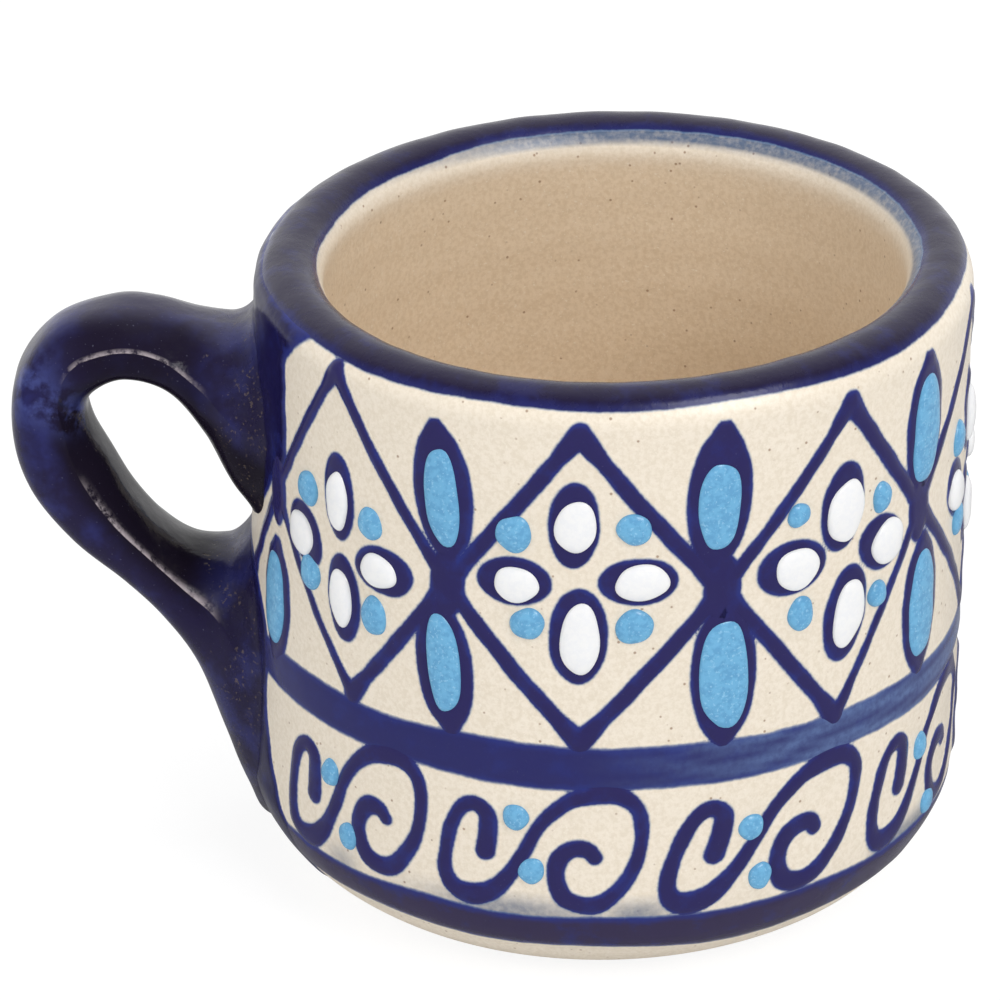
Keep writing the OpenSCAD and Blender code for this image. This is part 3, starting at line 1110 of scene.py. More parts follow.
def leaves(motifs: Motifs) -> list[Leaf]:
    """List the leaves round the cup.

    Args:
        motifs: Places of the crossings.

    Returns:
        The leaves of the front as they stand there, and the rest in their manner.
    """
    front = [
        Leaf(-65.5, 39.3, 4.6, 11.8, 0.0, 7.2, 15.4, -0.3),
        Leaf(-26.9, 61.7, 4.2, 11.5, -8.0, 7.2, 16.8, 0.6),
        Leaf(-26.0, 41.6, 4.1, 11.4, -8.0, 6.9, 16.2, -0.4),
        Leaf(16.5, 62.0, 4.6, 10.5, 2.0, 7.3, 17.4, 0.9),
        Leaf(18.1, 41.4, 5.5, 13.2, -1.0, 7.5, 17.8, 0.1),
        Leaf(57.8, 62.6, 5.2, 13.2, 2.0, 7.6, 16.8, 0.5),
        Leaf(58.6, 40.9, 5.2, 13.6, -1.0, 7.6, 17.4, 0.0),
    ]
    rise, rim_shift = 10.2, 0.4
    models = ((1.0, front[1]), (-1.0, front[4]))
    back = [
        replace(leaf, turn=turn, up=up + way * rise, tilt=leaf.tilt * 0.6, rim_shift=rim_shift * way)
        for turn, up in motifs.crossings[4:]
        for way, leaf in models
    ]
    return front + back


# One trailed S from the tip of its left hook to the tip of its right hook: places in shares of its
# width from the left and of its height from the bottom, and how thick the stroke runs there.
S_LINE: tuple[tuple[float, float, float], ...] = (
    (0.21, 0.44, 1.35), (0.22, 0.63, 1.25), (0.21, 0.79, 1.2), (0.14, 0.87, 1.1), (0.06, 0.80, 1.0),
    (0.01, 0.60, 0.95), (-0.01, 0.38, 0.95), (-0.01, 0.19, 1.05), (0.04, 0.05, 1.3), (0.14, 0.00, 1.6),
    (0.25, 0.07, 1.4), (0.34, 0.24, 1.05), (0.42, 0.48, 0.9), (0.48, 0.70, 0.92), (0.56, 0.87, 0.97),
    (0.66, 1.00, 1.15), (0.79, 1.06, 1.4), (0.91, 1.04, 1.25), (1.00, 0.92, 1.0), (1.03, 0.72, 0.9),
    (1.02, 0.50, 0.86), (0.98, 0.30, 0.95), (0.91, 0.13, 1.1), (0.83, 0.02, 1.25), (0.74, 0.00, 1.3),
    (0.65, 0.06, 1.25), (0.60, 0.20, 1.15), (0.59, 0.35, 1.15), (0.62, 0.47, 1.2), (0.68, 0.54, 1.25),
    (0.75, 0.53, 1.15), (0.79, 0.46, 1.0),
)


@dataclass(frozen=True)
class Scroll:
    """One trailed S: its centre, its size between stroke middles, its slant, stroke and rise to the right."""

    turn: float
    up: float
    width: float
    height: float
    slant: float = 0.0
    stroke_w: float = 1.8
    rise: float = 0.0

    def line(self, steps: int = 4) -> tuple[np.ndarray, np.ndarray]:
        """Trace the stroke.

        Args:
            steps: Number of steps from knot to knot.

        Returns:
            Middle line, across and up from the centre, and its widths.
        """
        knots = np.array(S_LINE) - np.array([0.5, 0.5, 0.0])
        line = np.array([along_curve(knots, k / steps) for k in range(steps * (len(knots) - 1) + 1)])
        across = line[:, 0] * self.width + line[:, 1] * self.slant
        up = line[:, 1] * self.height + line[:, 0] * self.rise
        return np.stack([across, up], axis=1), line[:, 2] * self.stroke_w


def scrolls() -> list[Scroll]:
    """List the scrolls round the cup.

    Returns:
        The scrolls, those of the front first.
    """
    front = [
        Scroll(-44.2, 20.2, 19.7, 13.3, -0.4, 1.85, 1.9), Scroll(-9.7, 20.2, 20.9, 13.2, 0.2, 1.75),
        Scroll(26.5, 20.0, 21.0, 13.4, 2.6, 1.9), Scroll(62.6, 20.2, 20.0, 13.4, 1.6, 1.85),
    ]
    first, pitch = 97.5, 35.2
    slants = (0.8, 0.0, 1.8, 0.4, -0.4)
    back = [Scroll(first + pitch * i, 20.1, 20.0, 13.3, slant) for i, slant in enumerate(slants)]
    return front + back


SCROLL_DOT = Drop(0.0, 0.0, 2.9, 3.3)
SCROLL_DOTS: tuple[tuple[float, float], ...] = (
    (-48.2, 22.7), (-43.8, 15.9), (-13.6, 24.1), (-10.9, 17.6), (23.6, 21.7), (25.4, 15.3), (60.7, 22.2),
    (64.3, 13.9), (95.0, 22.6), (99.0, 15.6), (130.0, 22.8), (134.0, 15.4), (165.4, 22.4), (169.4, 15.8),
    (200.6, 22.7), (204.4, 15.5), (235.6, 22.5), (239.6, 15.7),
)


@dataclass(frozen=True)
class Dab:
    """A stroke of paint beside the handle: its place from the handle's middle, its ends and its widths."""

    turn: float
    up: float
    ends: tuple[tuple[float, float], tuple[float, float]]
    widths: tuple[float, float]
    reach: float


@dataclass(frozen=True)
class WeldPaint:
    """The flat paint on the wall round the handle's roots.

    Attributes:
        dabs: Strokes at the upper root, laid on both sides of it.
        ovals: Height, width and length of the ovals behind the roots.
        oval_reach: Distance from their centres beyond which the ovals aren't drawn.
        tail_up: Heights at which the paint beside the tail has its half widths.
        tail_half: Those half widths.
        tail_top: Height at which the paint beside the tail ends.
        low_up: Height of the lowest edge.
        over_rim: How far the paint runs up past the rim band's edge.
        soft: Width of the rounding of its corners.
    """

    dabs: tuple[Dab, ...] = (
        Dab(0.0, 68.5, ((-13.0, 0.0), (13.0, 0.0)), (11.0, 11.0), 30.0),
        Dab(19.7, 66.5, ((-0.7, 8.0), (0.7, -8.0)), (9.6, 9.6), 20.0),
        Dab(28.0, 73.4, ((-4.0, -3.0), (3.6, 1.2)), (4.2, 1.8), 12.0),
    )
    ovals: tuple[tuple[float, float, float], ...] = ((58.0, 32.6, 27.0), (30.0, 30.0, 22.0))
    oval_reach: float = 26.0
    tail_up: tuple[float, ...] = (4.0, 12.0, 14.0, 19.0, 24.6, 32.0)
    tail_half: tuple[float, ...] = (22.5, 20.7, 18.9, 16.1, 14.5, 14.3)
    tail_top: float = 30.0
    low_up: float = 4.2
    over_rim: float = 0.4
    soft: float = 1.1


@dataclass(frozen=True)
class Enamel:
    """How one kind of drop was laid.

    Attributes:
        name: Name of the piece.
        height: Height of a drop over what it lies on.
        seed: Seed of the drops' unevenness.
        power: How flat the drops' crowns are: 2 would be round.
        square: How square their outlines are: 1 would be an ellipse.
        on_slip: Whether the drops lie on trailed slip.
    """

    name: str
    height: float
    seed: int
    power: float
    square: float = 1.0
    on_slip: bool = False


PETAL_DROPS = Enamel("white_petal_drops", 0.75, 41, 2.6, on_slip=True)
LEAF_DROPS = Enamel("blue_leaf_drops", 0.5, 42, 3.2, 0.86, on_slip=True)
DOT_DROPS = Enamel("blue_dot_drops", 0.75, 43, 2.4)
SCROLL_DOT_DROPS = Enamel("scroll_dot_drops", 0.65, 44, 2.4)


@dataclass
class Decoration:
    """The cobalt slip and the enamel on the cup.

    Attributes:
        cup: Form that it lies on.
        motifs: Where the painter put the motifs.
        paint: The paint round the handle's roots.
        band_t: Height of the bands.
        weld_t: Height of the paint, which lies over the bands.
        trail_t: Height of the trailed slip.
        shoulder: Distance from its edge at which brushed slip reaches its height.
        trail_shoulder: The same for trailed slip.
        skin: Height of slip at its edge.
        sunk: Depth of its underside in the wall.
        bleed: How far its colour bleeds into the clay.
        margin: Distance past a motif's own size up to which it is drawn.
        rim_edge_up: Height of the rim band's lower edge.
        waist_up: Heights of the waist band's edges.
        foot_up: Heights of the foot band's edges.
        lip_turn: Turn at which the rim band goes furthest over the lip.
        stain_turn: Turn of the stain above the foot band.
        stain_w: Its width in degrees.
    """

    cup: CupForm
    motifs: Motifs = field(default_factory=Motifs)
    paint: WeldPaint = WeldPaint()
    band_t: float = 0.16
    weld_t: float = 0.20
    trail_t: float = 0.24
    shoulder: float = 1.2
    trail_shoulder: float = 1.0
    skin: float = 0.015
    sunk: float = 0.2
    bleed: float = 0.32
    margin: float = 4.0
    rim_edge_up: float = 73.6
    waist_up: tuple[float, float] = (28.3, 32.7)
    foot_up: tuple[float, float] = (6.7, 12.0)
    lip_turn: float = -60.0
    stain_turn: float = -14.0
    stain_w: float = 14.0

    def __post_init__(self) -> None:
        """Draw every layer of slip."""
        self.map = SlipMap(self.cup)
        self.layers = {
            "rim_band": self.rim_layer(),
            "waist_band": self.waist_layer(),
            "foot_band": self.foot_layer(),
            "diamond_lines": self.diamond_layer(),
            "petal_rims": self.petal_layer(),
            "leaf_rims": self.leaf_layer(),
            "scrolls": self.scroll_layer(),
        }
        for layer in self.layers.values():
            layer += self.map.edge_ripple
        self.weld = self.weld_layer() + 2.0 * self.map.edge_ripple
        self.all = np.minimum.reduce([*self.layers.values(), self.weld])

    def wash(self, turn: np.ndarray, run: np.ndarray) -> np.ndarray:
        """Give how much thin slip was washed over the clay inside the lip and above the foot band.

        Args:
            turn: Angles round the cup in degrees.
            run: Runs along the profile.

        Returns:
            Shares from 0 to 1.
        """
        e = self.cup.ends
        arc = e["lip"] - e["wall"]
        lip = e["wall"] + self.lip_share(turn) * arc
        far_side = 0.15 + 0.85 * smooth(-0.5, 0.4, -np.cos(np.radians(turn - self.lip_turn)))
        reach = arc * (0.05 + 0.12 * far_side)
        inner = (1.0 - smooth(0.55, 1.0, (run - lip) / reach)) * (run > lip - 0.5) * far_side
        foot = float(self.cup.run_at(self.foot_up[1]))
        stain = np.exp(-(((wrapped(turn) - self.stain_turn) / self.stain_w) ** 2))
        patch = np.maximum(stain, smooth(0.3, 1.0, Ripple(22.0, 52).at(turn, 0.0 * run)))
        low = patch * (1.0 - smooth(foot + 0.6, foot + 3.2, run)) * (run > foot - 1.0) * (run < e["wall"])
        return np.maximum(inner, 0.8 * low)

    def lip_share(self, turn: np.ndarray) -> np.ndarray:
        """Return how far over the lip the band goes, as a share of the lip's arc."""
        return 0.74 + 0.06 * np.cos(np.radians(turn - self.lip_turn))

    def edge(self, up: np.ndarray | float, sway: float, wave: float, seed: int) -> np.ndarray:
        """Return the runs, at each turn of the net, of a brushed edge that sways about a height."""
        return self.cup.run_at(up + sway * Ripple(wave, seed).at(self.map.turns, 0.0))

    def rim_layer(self) -> np.ndarray:
        """Draw the band over the lip.

        Returns:
            Signed distances on the net.
        """
        turn = self.map.turns
        arc = self.cup.ends["lip"] - self.cup.ends["wall"]
        high = self.cup.ends["wall"] + arc * (self.lip_share(turn) + 0.012 * Ripple(24.0, 12).at(turn, 0.0))
        return self.map.band(self.edge(self.rim_edge_up, 0.25, 30.0, 11), high)

    def waist_layer(self) -> np.ndarray:
        """Draw the band below the diamonds.

        Returns:
            Signed distances on the net.
        """
        low, high = self.waist_up
        swell = 0.6 * np.cos(np.radians(self.map.turns + 22.0))
        return self.map.band(self.edge(low, 0.3, 26.0, 13), self.edge(high + swell, 0.2, 22.0, 14))

    def foot_layer(self) -> np.ndarray:
        """Draw the band above the bare foot.

        Returns:
            Signed distances on the net.
        """
        low, high = self.foot_up
        tilt = 0.4 * np.sin(np.radians(self.map.turns))
        return self.map.band(self.edge(low - tilt, 0.25, 24.0, 15), self.edge(high, 0.35, 18.0, 16))

    def diamond_layer(self) -> np.ndarray:
        """Draw the trailed lines of the diamonds.

        Returns:
            Signed distances on the net.
        """
        layer = self.map.blank()
        m = self.motifs
        rng = np.random.default_rng(21)
        most_bow = 0.2
        runs, widths = [], []
        for cross, stub in zip((m.crossings[0], m.crossings[-1]), m.stubs):
            runs.append((cross, (cross[0] + stub[0], cross[1] + stub[1])))
            widths.append(m.stub_w)
        for i, (top, bottom) in enumerate(zip(m.tops, m.bottoms)):
            for cross in (m.crossings[i], m.crossings[i + 1]):
                runs += [(cross, top), (cross, bottom)]
            widths += m.line_w[i % len(m.line_w)]
        share = np.linspace(-1.0, 1.0, 7)
        joins = 1.0 - smooth(-1.0, -0.72, share) + smooth(0.8, 1.0, share)
        for ((turn0, up0), (turn1, up1)), line_w in zip(runs, widths):
            dx = math.radians(turn1 - turn0) * self.map.radius / 2.0
            dy = (up1 - up0) / 2.0
            swing = rng.uniform(-most_bow, most_bow) * (1.0 - share**2) / 10.0
            line = np.stack([share * dx - swing * dy, share * dy + swing * dx], axis=1)
            shape = stroke(line, line_w + m.join_w * joins)
            reach = math.hypot(dx, dy) + self.margin
            self.map.draw(layer, (turn0 + turn1) / 2.0, (up0 + up1) / 2.0, shape, reach)
        for turn, up in m.crossings:
            self.map.draw(layer, turn, up, oval(*m.knot), m.knot[1] + self.margin)
        return layer

    def petal_layer(self) -> np.ndarray:
        """Draw the slip under and round the petals.

        Returns:
            Signed distances on the net.
        """
        layer = self.map.blank()
        for (turn, up), flower in zip(self.motifs.centres, self.motifs.flowers):
            for p in flower.petals:
                at = turn + math.degrees((p.across + p.shift_across) / self.map.radius)
                shape = oval(p.width + p.rim_wide, p.length + p.rim_long, p.tilt)
                self.map.draw(layer, at, up + p.up + p.shift_up, shape, p.length + self.margin)
        return layer

    def leaf_layer(self) -> np.ndarray:
        """Draw the slip under and round the leaves.

        Returns:
            Signed distances on the net.
        """
        layer = self.map.blank()
        for leaf in leaves(self.motifs):
            for kind, longer in ((pointed_oval, 1.12), (oval, 0.96)):
                shape = kind(leaf.rim_w, leaf.rim_l * longer, leaf.tilt)
                reach = leaf.rim_l / 2.0 + self.margin
                self.map.draw(layer, leaf.turn, leaf.up + leaf.rim_shift, shape, reach)
        return layer

    def scroll_layer(self) -> np.ndarray:
        """Draw the trailed scrolls.

        Returns:
            Signed distances on the net.
        """
        layer = self.map.blank()
        for scroll in scrolls():
            line, widths = scroll.line()
            reach = scroll.width / 2.0 + self.margin
            self.map.draw(layer, scroll.turn, scroll.up, stroke(line, widths), reach)
        return layer

    def weld_layer(self) -> np.ndarray:
        """Draw the flat slip painted on the wall round the handle's roots.

        Returns:
            Signed distances on the net.
        """
        layer = self.map.blank()
        paint = self.paint
        for up, width, length in paint.ovals:
            self.map.draw(layer, HANDLE_TURN, up, oval(width, length), paint.oval_reach)
        for side in (-1.0, 1.0):
            for dab in paint.dabs:
                shape = stroke(np.array(dab.ends) * np.array([side, 1.0]), np.array(dab.widths))
                self.map.draw(layer, HANDLE_TURN + side * dab.turn, dab.up, shape, dab.reach)
        across = np.radians(self.map.turns - HANDLE_TURN) * self.map.radius
        run = self.map.runs[:, None]
        up = self.cup.read("up", run)
        half = np.interp(up, paint.tail_up, paint.tail_half)
        layer = np.minimum(layer, np.maximum(np.abs(across) - half, up - paint.tail_top))
        layer = self.map.softened(layer, paint.soft)
        top = float(self.cup.run_at(self.rim_edge_up + paint.over_rim))
        low = float(self.cup.run_at(paint.low_up))
        return np.maximum(layer, np.maximum(run - top, low - run))

    def relief(self, layer: np.ndarray, height: float, shoulder: float, name: str) -> Piece:
        """Raise a layer of slip off the wall.

        Args:
            layer: Signed distances to the slip.
            height: Its full height.
            shoulder: Distance from its edge at which it reaches that height.
            name: Name of the piece.

        Returns:
            A closed piece whose underside lies in the wall.
        """
        sheet = cut_sheet(self.map, layer - self.bleed)
        inward = sheet.depth - self.bleed
        share = np.clip(inward / shoulder, 0.0, 1.0)
        uneven = 1.0 + 0.12 * Ripple(6.0, 31).at(sheet.turn, sheet.run)
        lift = self.skin + height * uneven * (1.0 - (1.0 - share) ** 2)
        top = self.cup.place(sheet.turn, sheet.run, lift)
        under = self.cup.place(sheet.turn, sheet.run, -self.sunk)
        count = len(top)
        faces = sheet.faces + [[k + count for k in face[::-1]] for face in sheet.faces]
        faces += [[b, a, a + count, b + count] for a, b in rim_edges(sheet.faces)]
        depth = np.maximum(-self.map.sample(self.all, sheet.turn, sheet.run), inward)
        values = {
            "depth_mm": depth,
            "faded": self.faded(name, sheet.turn, sheet.run),
            "wash": self.wash(sheet.turn, sheet.run),
        }
        values = {key: np.concatenate([value, value]) for key, value in values.items()}
        return Piece(name, np.concatenate([top, under]), faces, values)

    def faded(self, name: str, turn: np.ndarray, run: np.ndarray) -> np.ndarray:
        """Give how thin the slip was brushed.

        Args:
            name: Name of the piece.
            turn: Angles round the cup in degrees.
            run: Runs along the profile.

        Returns:
            Shares from 0, full, to 1, thin.
        """
        if name != "waist_band_slip":
            return np.zeros(len(turn))
        dry = plateau((-8.0, 40.0, 110.0, 150.0), wrapped(turn))
        drift = Ripple(26.0, 61).at(turn, 0.0 * run)
        streak = np.sin(2.0 * math.pi * run / 2.9 + 2.2 * drift)
        streak += 0.5 * np.sin(2.0 * math.pi * run / 1.3 - 3.0 * drift)
        return np.clip(dry * (0.66 + 0.28 * streak), 0.0, 1.0)

    def drops(self, kind: Enamel, spots: list[tuple[float, float, Drop]]) -> Piece:
        """Lay drops of enamel on the wall.

        Args:
            kind: How they were laid.
            spots: Turn and height of each motif's centre, and the drop.

        Returns:
            One piece with every drop in it, each closed.
        """
        rng = np.random.default_rng(kind.seed)
        rings, spokes = 10, 40
        wobble = ((2, 0.035), (3, 0.03), (5, 0.015))
        crown_power, seat = 0.55, 0.03
        base = self.trail_t if kind.on_slip else 0.0
        angle = np.radians(np.arange(spokes) * 360.0 / spokes)
        share = np.sin(np.linspace(0.0, math.pi / 2.0, rings + 1))[1:]
        points: list[np.ndarray] = []
        depths: list[np.ndarray] = []
        faces: list[list[int]] = []
        for turn, up, drop in spots:
            phases = rng.uniform(0.0, 2.0 * math.pi, len(wobble))
            out = 1.0 + sum(size * np.sin(n * angle + phase) for (n, size), phase in zip(wobble, phases))
            tall = kind.height * rng.uniform(0.88, 1.08)
            a = math.radians(drop.tilt)
            x = share[:, None] * out * drop.width / 2.0 * squared(np.sin(angle), kind.square)
            y = share[:, None] * out * drop.length / 2.0 * squared(np.cos(angle), kind.square)
            across = drop.across + x * math.cos(a) + y * math.sin(a)
            rise = drop.up - x * math.sin(a) + y * math.cos(a)
            lift = base + np.repeat(tall * (1.0 - share**kind.power) ** crown_power, spokes)
            lift[-spokes:] = base - seat
            around = turn + np.degrees(np.append(across.ravel(), drop.across) / self.map.radius)
            run = self.cup.run_at(up + np.append(rise.ravel(), drop.up))
            top = self.cup.place(around, run, np.append(lift, base + tall))
            under = self.cup.place(around[-spokes - 1:-1], run[-spokes - 1:-1], -self.sunk)
            start = sum(len(p) for p in points)
            centre = start + rings * spokes
            points += [top, under]
            inner = min(drop.width, drop.length) / 2.0
            depths += [np.append(np.repeat((1.0 - share) * inner, spokes), inner), np.zeros(spokes)]
            edge, under_edge = centre - spokes, centre + 1
            faces += ring_faces(rings, spokes, start)
            for k in range(spokes):
                n = (k + 1) % spokes
                faces.append([centre, start + n, start + k])
                faces.append([edge + k, edge + n, under_edge + n, under_edge + k])
            faces.append([under_edge + k for k in range(spokes)])
        return Piece(kind.name, np.concatenate(points), faces, {"depth_mm": np.concatenate(depths)})

    def build(self) -> None:
        """Build and dress all slip and enamel."""
        for name, finish in (("rim_band", LIP), ("waist_band", WAIST), ("foot_band", FOOT)):
            piece = self.relief(self.layers[name], self.band_t, self.shoulder, name + "_slip")
            piece.make(finish.material(), Slot.BAND, name)
        trail = TRAIL.material()
        for name in ("diamond_lines", "petal_rims", "leaf_rims", "scrolls"):
            piece = self.relief(self.layers[name], self.trail_t, self.trail_shoulder, name + "_slip")
            piece.make(trail, Slot.TRAIL, name)
        self.relief(self.weld, self.weld_t, self.shoulder, "weld_slip").make(WELD.material(), Slot.TRAIL)
        both = list(zip(self.motifs.centres, self.motifs.flowers))
        petals = [(turn, up, petal) for (turn, up), flower in both for petal in flower.petals]
        self.drops(PETAL_DROPS, petals).make(WHITE.material(), Slot.WHITE, "white_petals")
        sky = SKY.material()
        sky_drops = {
            "blue_leaves": (LEAF_DROPS, [
                (leaf.turn, leaf.up, Drop(0.0, 0.0, leaf.width, leaf.length, leaf.tilt))
                for leaf in leaves(self.motifs)
            ]),
            "blue_dots": (DOT_DROPS, [(turn, up, dot) for (turn, up), flower in both for dot in flower.dots]),
            "scroll_dots": (SCROLL_DOT_DROPS, [(turn, up, SCROLL_DOT) for turn, up in SCROLL_DOTS]),
        }
        for node, (kind, spots) in sky_drops.items():
            self.drops(kind, spots).make(sky, Slot.SKY, node)


@dataclass
class Cup:
    """The thrown clay cup, whose glaze ends between the heights bare_up."""

    form: CupForm
    decoration: Decoration
    columns: int = 396
    bare_up: tuple[float, float] = (5.5, 7.0)

    def rows(self) -> np.ndarray:
        """Space the mesh's rows.

        Returns:
            Their runs, closer together where slip lies.
        """
        e = self.form.ends
        spans = (
            (-self.form.foot_r, 0.0, 4.0), (0.0, e["corner"], 0.6), (e["corner"], e["wall"], 1.0),
            (e["wall"], e["lip"], 0.5), (e["lip"], e["inside"], 1.2), (e["inside"], e["bowl"], 1.2),
            (e["bowl"], e["floor"], 2.5),
        )
        rows = [np.linspace(a, b, max(2, round((b - a) / step)) + 1)[1:] for a, b, step in spans]
        return np.concatenate(rows)[:-1]

    def build(self) -> None:
        """Build and dress the cup."""
        rows, cols = self.rows(), self.columns
        turn = np.append(np.tile(np.arange(cols) * 360.0 / cols, len(rows)), [0.0, 0.0])
        run = np.append(np.repeat(rows, cols), [-self.form.foot_r, self.form.ends["floor"]])
        foot, floor = len(run) - 2, len(run) - 1
        last = foot - cols
        faces = ring_faces(len(rows), cols)
        faces += [[foot, (k + 1) % cols, k] for k in range(cols)]
        faces += [[floor, last + k, last + (k + 1) % cols] for k in range(cols)]
        piece = Piece("thrown_cup", self.form.place(turn, run), faces, self.values(turn, run))
        piece.make(CLAY.material(), Slot.CLAY, "cup_body")

    def values(self, turn: np.ndarray, run: np.ndarray) -> dict[str, np.ndarray]:
        """Work out what the clay's finish reads at each point.

        Args:
            turn: Angles round the cup in degrees.
            run: Runs along the profile.

        Returns:
            Inside share, bare share and blue wash by name.
        """
        lip = self.form.ends["lip"]
        bare, glazed = (float(self.form.run_at(up)) for up in self.bare_up)
        return {
            "inside": smooth(lip - 2.0, lip + 2.0, run),
            "bare": smooth(glazed, bare, run),
            "wash": self.decoration.wash(turn, run),
        }


@dataclass(frozen=True)
class Station:
    """One cut through the handle: its outer and inner edge, out and up, and its width."""

    outer: tuple[float, float]
    inner: tuple[float, float]
    width: float

    def numbers(self) -> tuple[float, ...]:
        """Return the station as plain numbers."""
        return (*self.outer, *self.inner, self.width)


@dataclass
class Handle:
    """The pulled clay loop, welded to the wall at an upper root and along a tail.

    A place along the loop is counted in stations.

    Attributes:
        form: Form of the cup that it is welded to.
        turn_over: Places between which the crowned side passes from the outer to the inner side.
        ridge_up: Height of the ridges on the outer and on the inner side.
        crown: How far the crown stands past the strap's thickness.
        hollow: How far the flat side falls short of it.
        half_points: Number of points across one side of a cut.
        weld_r: Distance from the wall at which the skin starts to spread.
        weld_share: How much of a round fillet the spread makes.
        weld_near: Nearness to the wall, as a share, past which the spread stays the same.
        root_r: Distance from the wall at which the roots' grit starts.
        wall_up: Lowest and highest place of the wall that the handle is set against.
        highlight_wear_above: Places between which the upper arm's ridges show pale wear that also paints
            their highlight.
        highlight_wear_share: How strong that wear and painted highlight are, beside 1 for the lower arm's.
        highlight_wear_below: Places between which the lower arm's ridges show pale wear that also paints
            their highlight.
        inner_shade_end: Places between which the painted shade on the inner side ends.
        slope_shade: Places between which shade is painted on the upper arm's front slope.
        slope_shade_share: How dark that painted shade is.
        patch: Place and length of the pale patch on the bend.
        ring_spans: Start, end and number of the cuts along the loop.
        stations: Given cuts.
    """

    form: CupForm
    turn_over: tuple[float, float] = (4.6, 6.6)
    ridge_up: tuple[float, float] = (1.3, 2.3)
    crown: float = 0.3
    hollow: float = 0.45
    half_points: int = 61
    weld_r: float = 3.2
    weld_share: float = 0.8
    weld_near: float = 0.93
    root_r: float = 9.0
    wall_up: tuple[float, float] = (1.0, 70.0)
    highlight_wear_above: tuple[float, float, float, float] = (1.6, 2.8, 4.4, 5.4)
    highlight_wear_share: float = 0.8
    highlight_wear_below: tuple[float, float, float, float] = (7.6, 8.8, 11.4, 12.4)
    inner_shade_end: tuple[float, float] = (10.8, 12.6)
    slope_shade: tuple[float, float, float, float] = (1.2, 2.4, 4.2, 5.6)
    slope_shade_share: float = 0.85
    patch: tuple[float, float] = (5.9, 0.55)
    ring_spans: tuple[tuple[float, float, int], ...] = ((0.0, 2.2, 90), (2.2, 11.0, 140), (11.0, 16.0, 150))
    stations: tuple[Station, ...] = (
        Station((36.6, 66.4), (36.6, 44.6), 24.0), Station((41.5, 65.4), (41.5, 46.8), 22.0),
        Station((46.4, 66.1), (45.2, 53.0), 16.4), Station((51.1, 67.2), (49.2, 57.8), 13.8),
        Station((56.0, 67.4), (54.1, 59.3), 13.4), Station((62.5, 65.2), (57.6, 57.8), 13.4),
        Station((67.1, 59.4), (59.0, 55.4), 13.4), Station((67.74, 52.6), (58.5, 52.6), 13.4),
        Station((65.8, 45.8), (56.4, 48.8), 13.4), Station((61.2, 39.6), (53.8, 43.9), 13.4),
        Station((55.3, 34.4), (50.4, 39.5), 13.8), Station((50.6, 29.5), (46.9, 37.2), 14.8),
        Station((46.5, 23.8), (43.2, 37.0), 17.2), Station((43.2, 15.8), (40.7, 38.2), 21.0),
        Station((40.9, 9.8), (37.4, 40.0), 23.0), Station((38.9, 5.2), (35.6, 38.6), 22.4),
        Station((35.2, 4.8), (34.4, 37.0), 21.0),
    )

    def gap(self, points: np.ndarray) -> np.ndarray:
        """Return how far points stand off the cup's wall."""
        wall = self.form.read("out", self.form.run_at(np.clip(points[:, 2], *self.wall_up)))
        return np.hypot(points[:, 0], points[:, 1]) - wall

    def section(self, half_w: float, half_t: float, share: float) -> tuple[np.ndarray, np.ndarray]:
        """Draw one cut through the pulled strap: flat below, crowned above, ridged where these meet.

        Args:
            half_w: Half its width.
            half_t: Half its thickness.
            share: 0 where its outer side faces up, 1 where its inner side does.

        Returns:
            Places across the strap, and places from its inner towards its outer side.
        """
        corner_power, crown_power, fold_power = 0.6, 2.6, 2.2
        t = np.linspace(-1.0, 1.0, self.half_points)
        bow = 0.5 * t + 0.5 * np.sin(t * math.pi / 2.0)
        turn = math.pi / 2.0 * (1.0 - np.abs(t)) ** fold_power
        flat = np.sign(t) * np.maximum(np.cos(turn), 0.0) ** corner_power
        outer, inner = np.zeros((2, len(t))), np.zeros((2, len(t)))
        for up, part in ((1.0, 1.0 - share), (-1.0, share)):
            ridge = self.ridge_up[0] if up > 0.0 else self.ridge_up[1]
            crown = ridge + (half_t + self.crown - ridge) * (1.0 - np.abs(bow) ** crown_power)
            below = ridge - (half_t - self.hollow + ridge) * np.sin(turn) ** corner_power
            above, under = np.stack([bow, up * crown]), np.stack([flat, up * below])
            outer += part * (above if up > 0.0 else under)
            inner += part * (under if up > 0.0 else above)
        ring = np.concatenate([outer, inner[:, -2:0:-1]], axis=1)
        return ring[0] * half_w, ring[1]

    def crease(self, s: float) -> np.ndarray:
        """Give how much pale wear, which also paints a highlight, the strap's two ridges carry at one cut.

        Args:
            s: Place along the loop, counted in stations.

        Returns:
            Shares from 0 to 1, one for each point of the cut.
        """
        upper = self.highlight_wear_share * plateau(self.highlight_wear_above, s)
        lower = plateau(self.highlight_wear_below, s)
        n = self.half_points
        share = np.zeros(2 * n - 2)
        share[[0, n - 1]] = upper + lower
        for k in range(1, 6):
            share[[k, n - 1 - k]] += upper * np.interp(k, (0.0, 2.0, 3.0), (1.0, 0.4, 0.0))
            share[[-k, n - 1 + k]] += lower * np.interp(k, (0.0, 2.0, 4.0, 6.0), (1.0, 0.55, 0.1, 0.0))
        return share

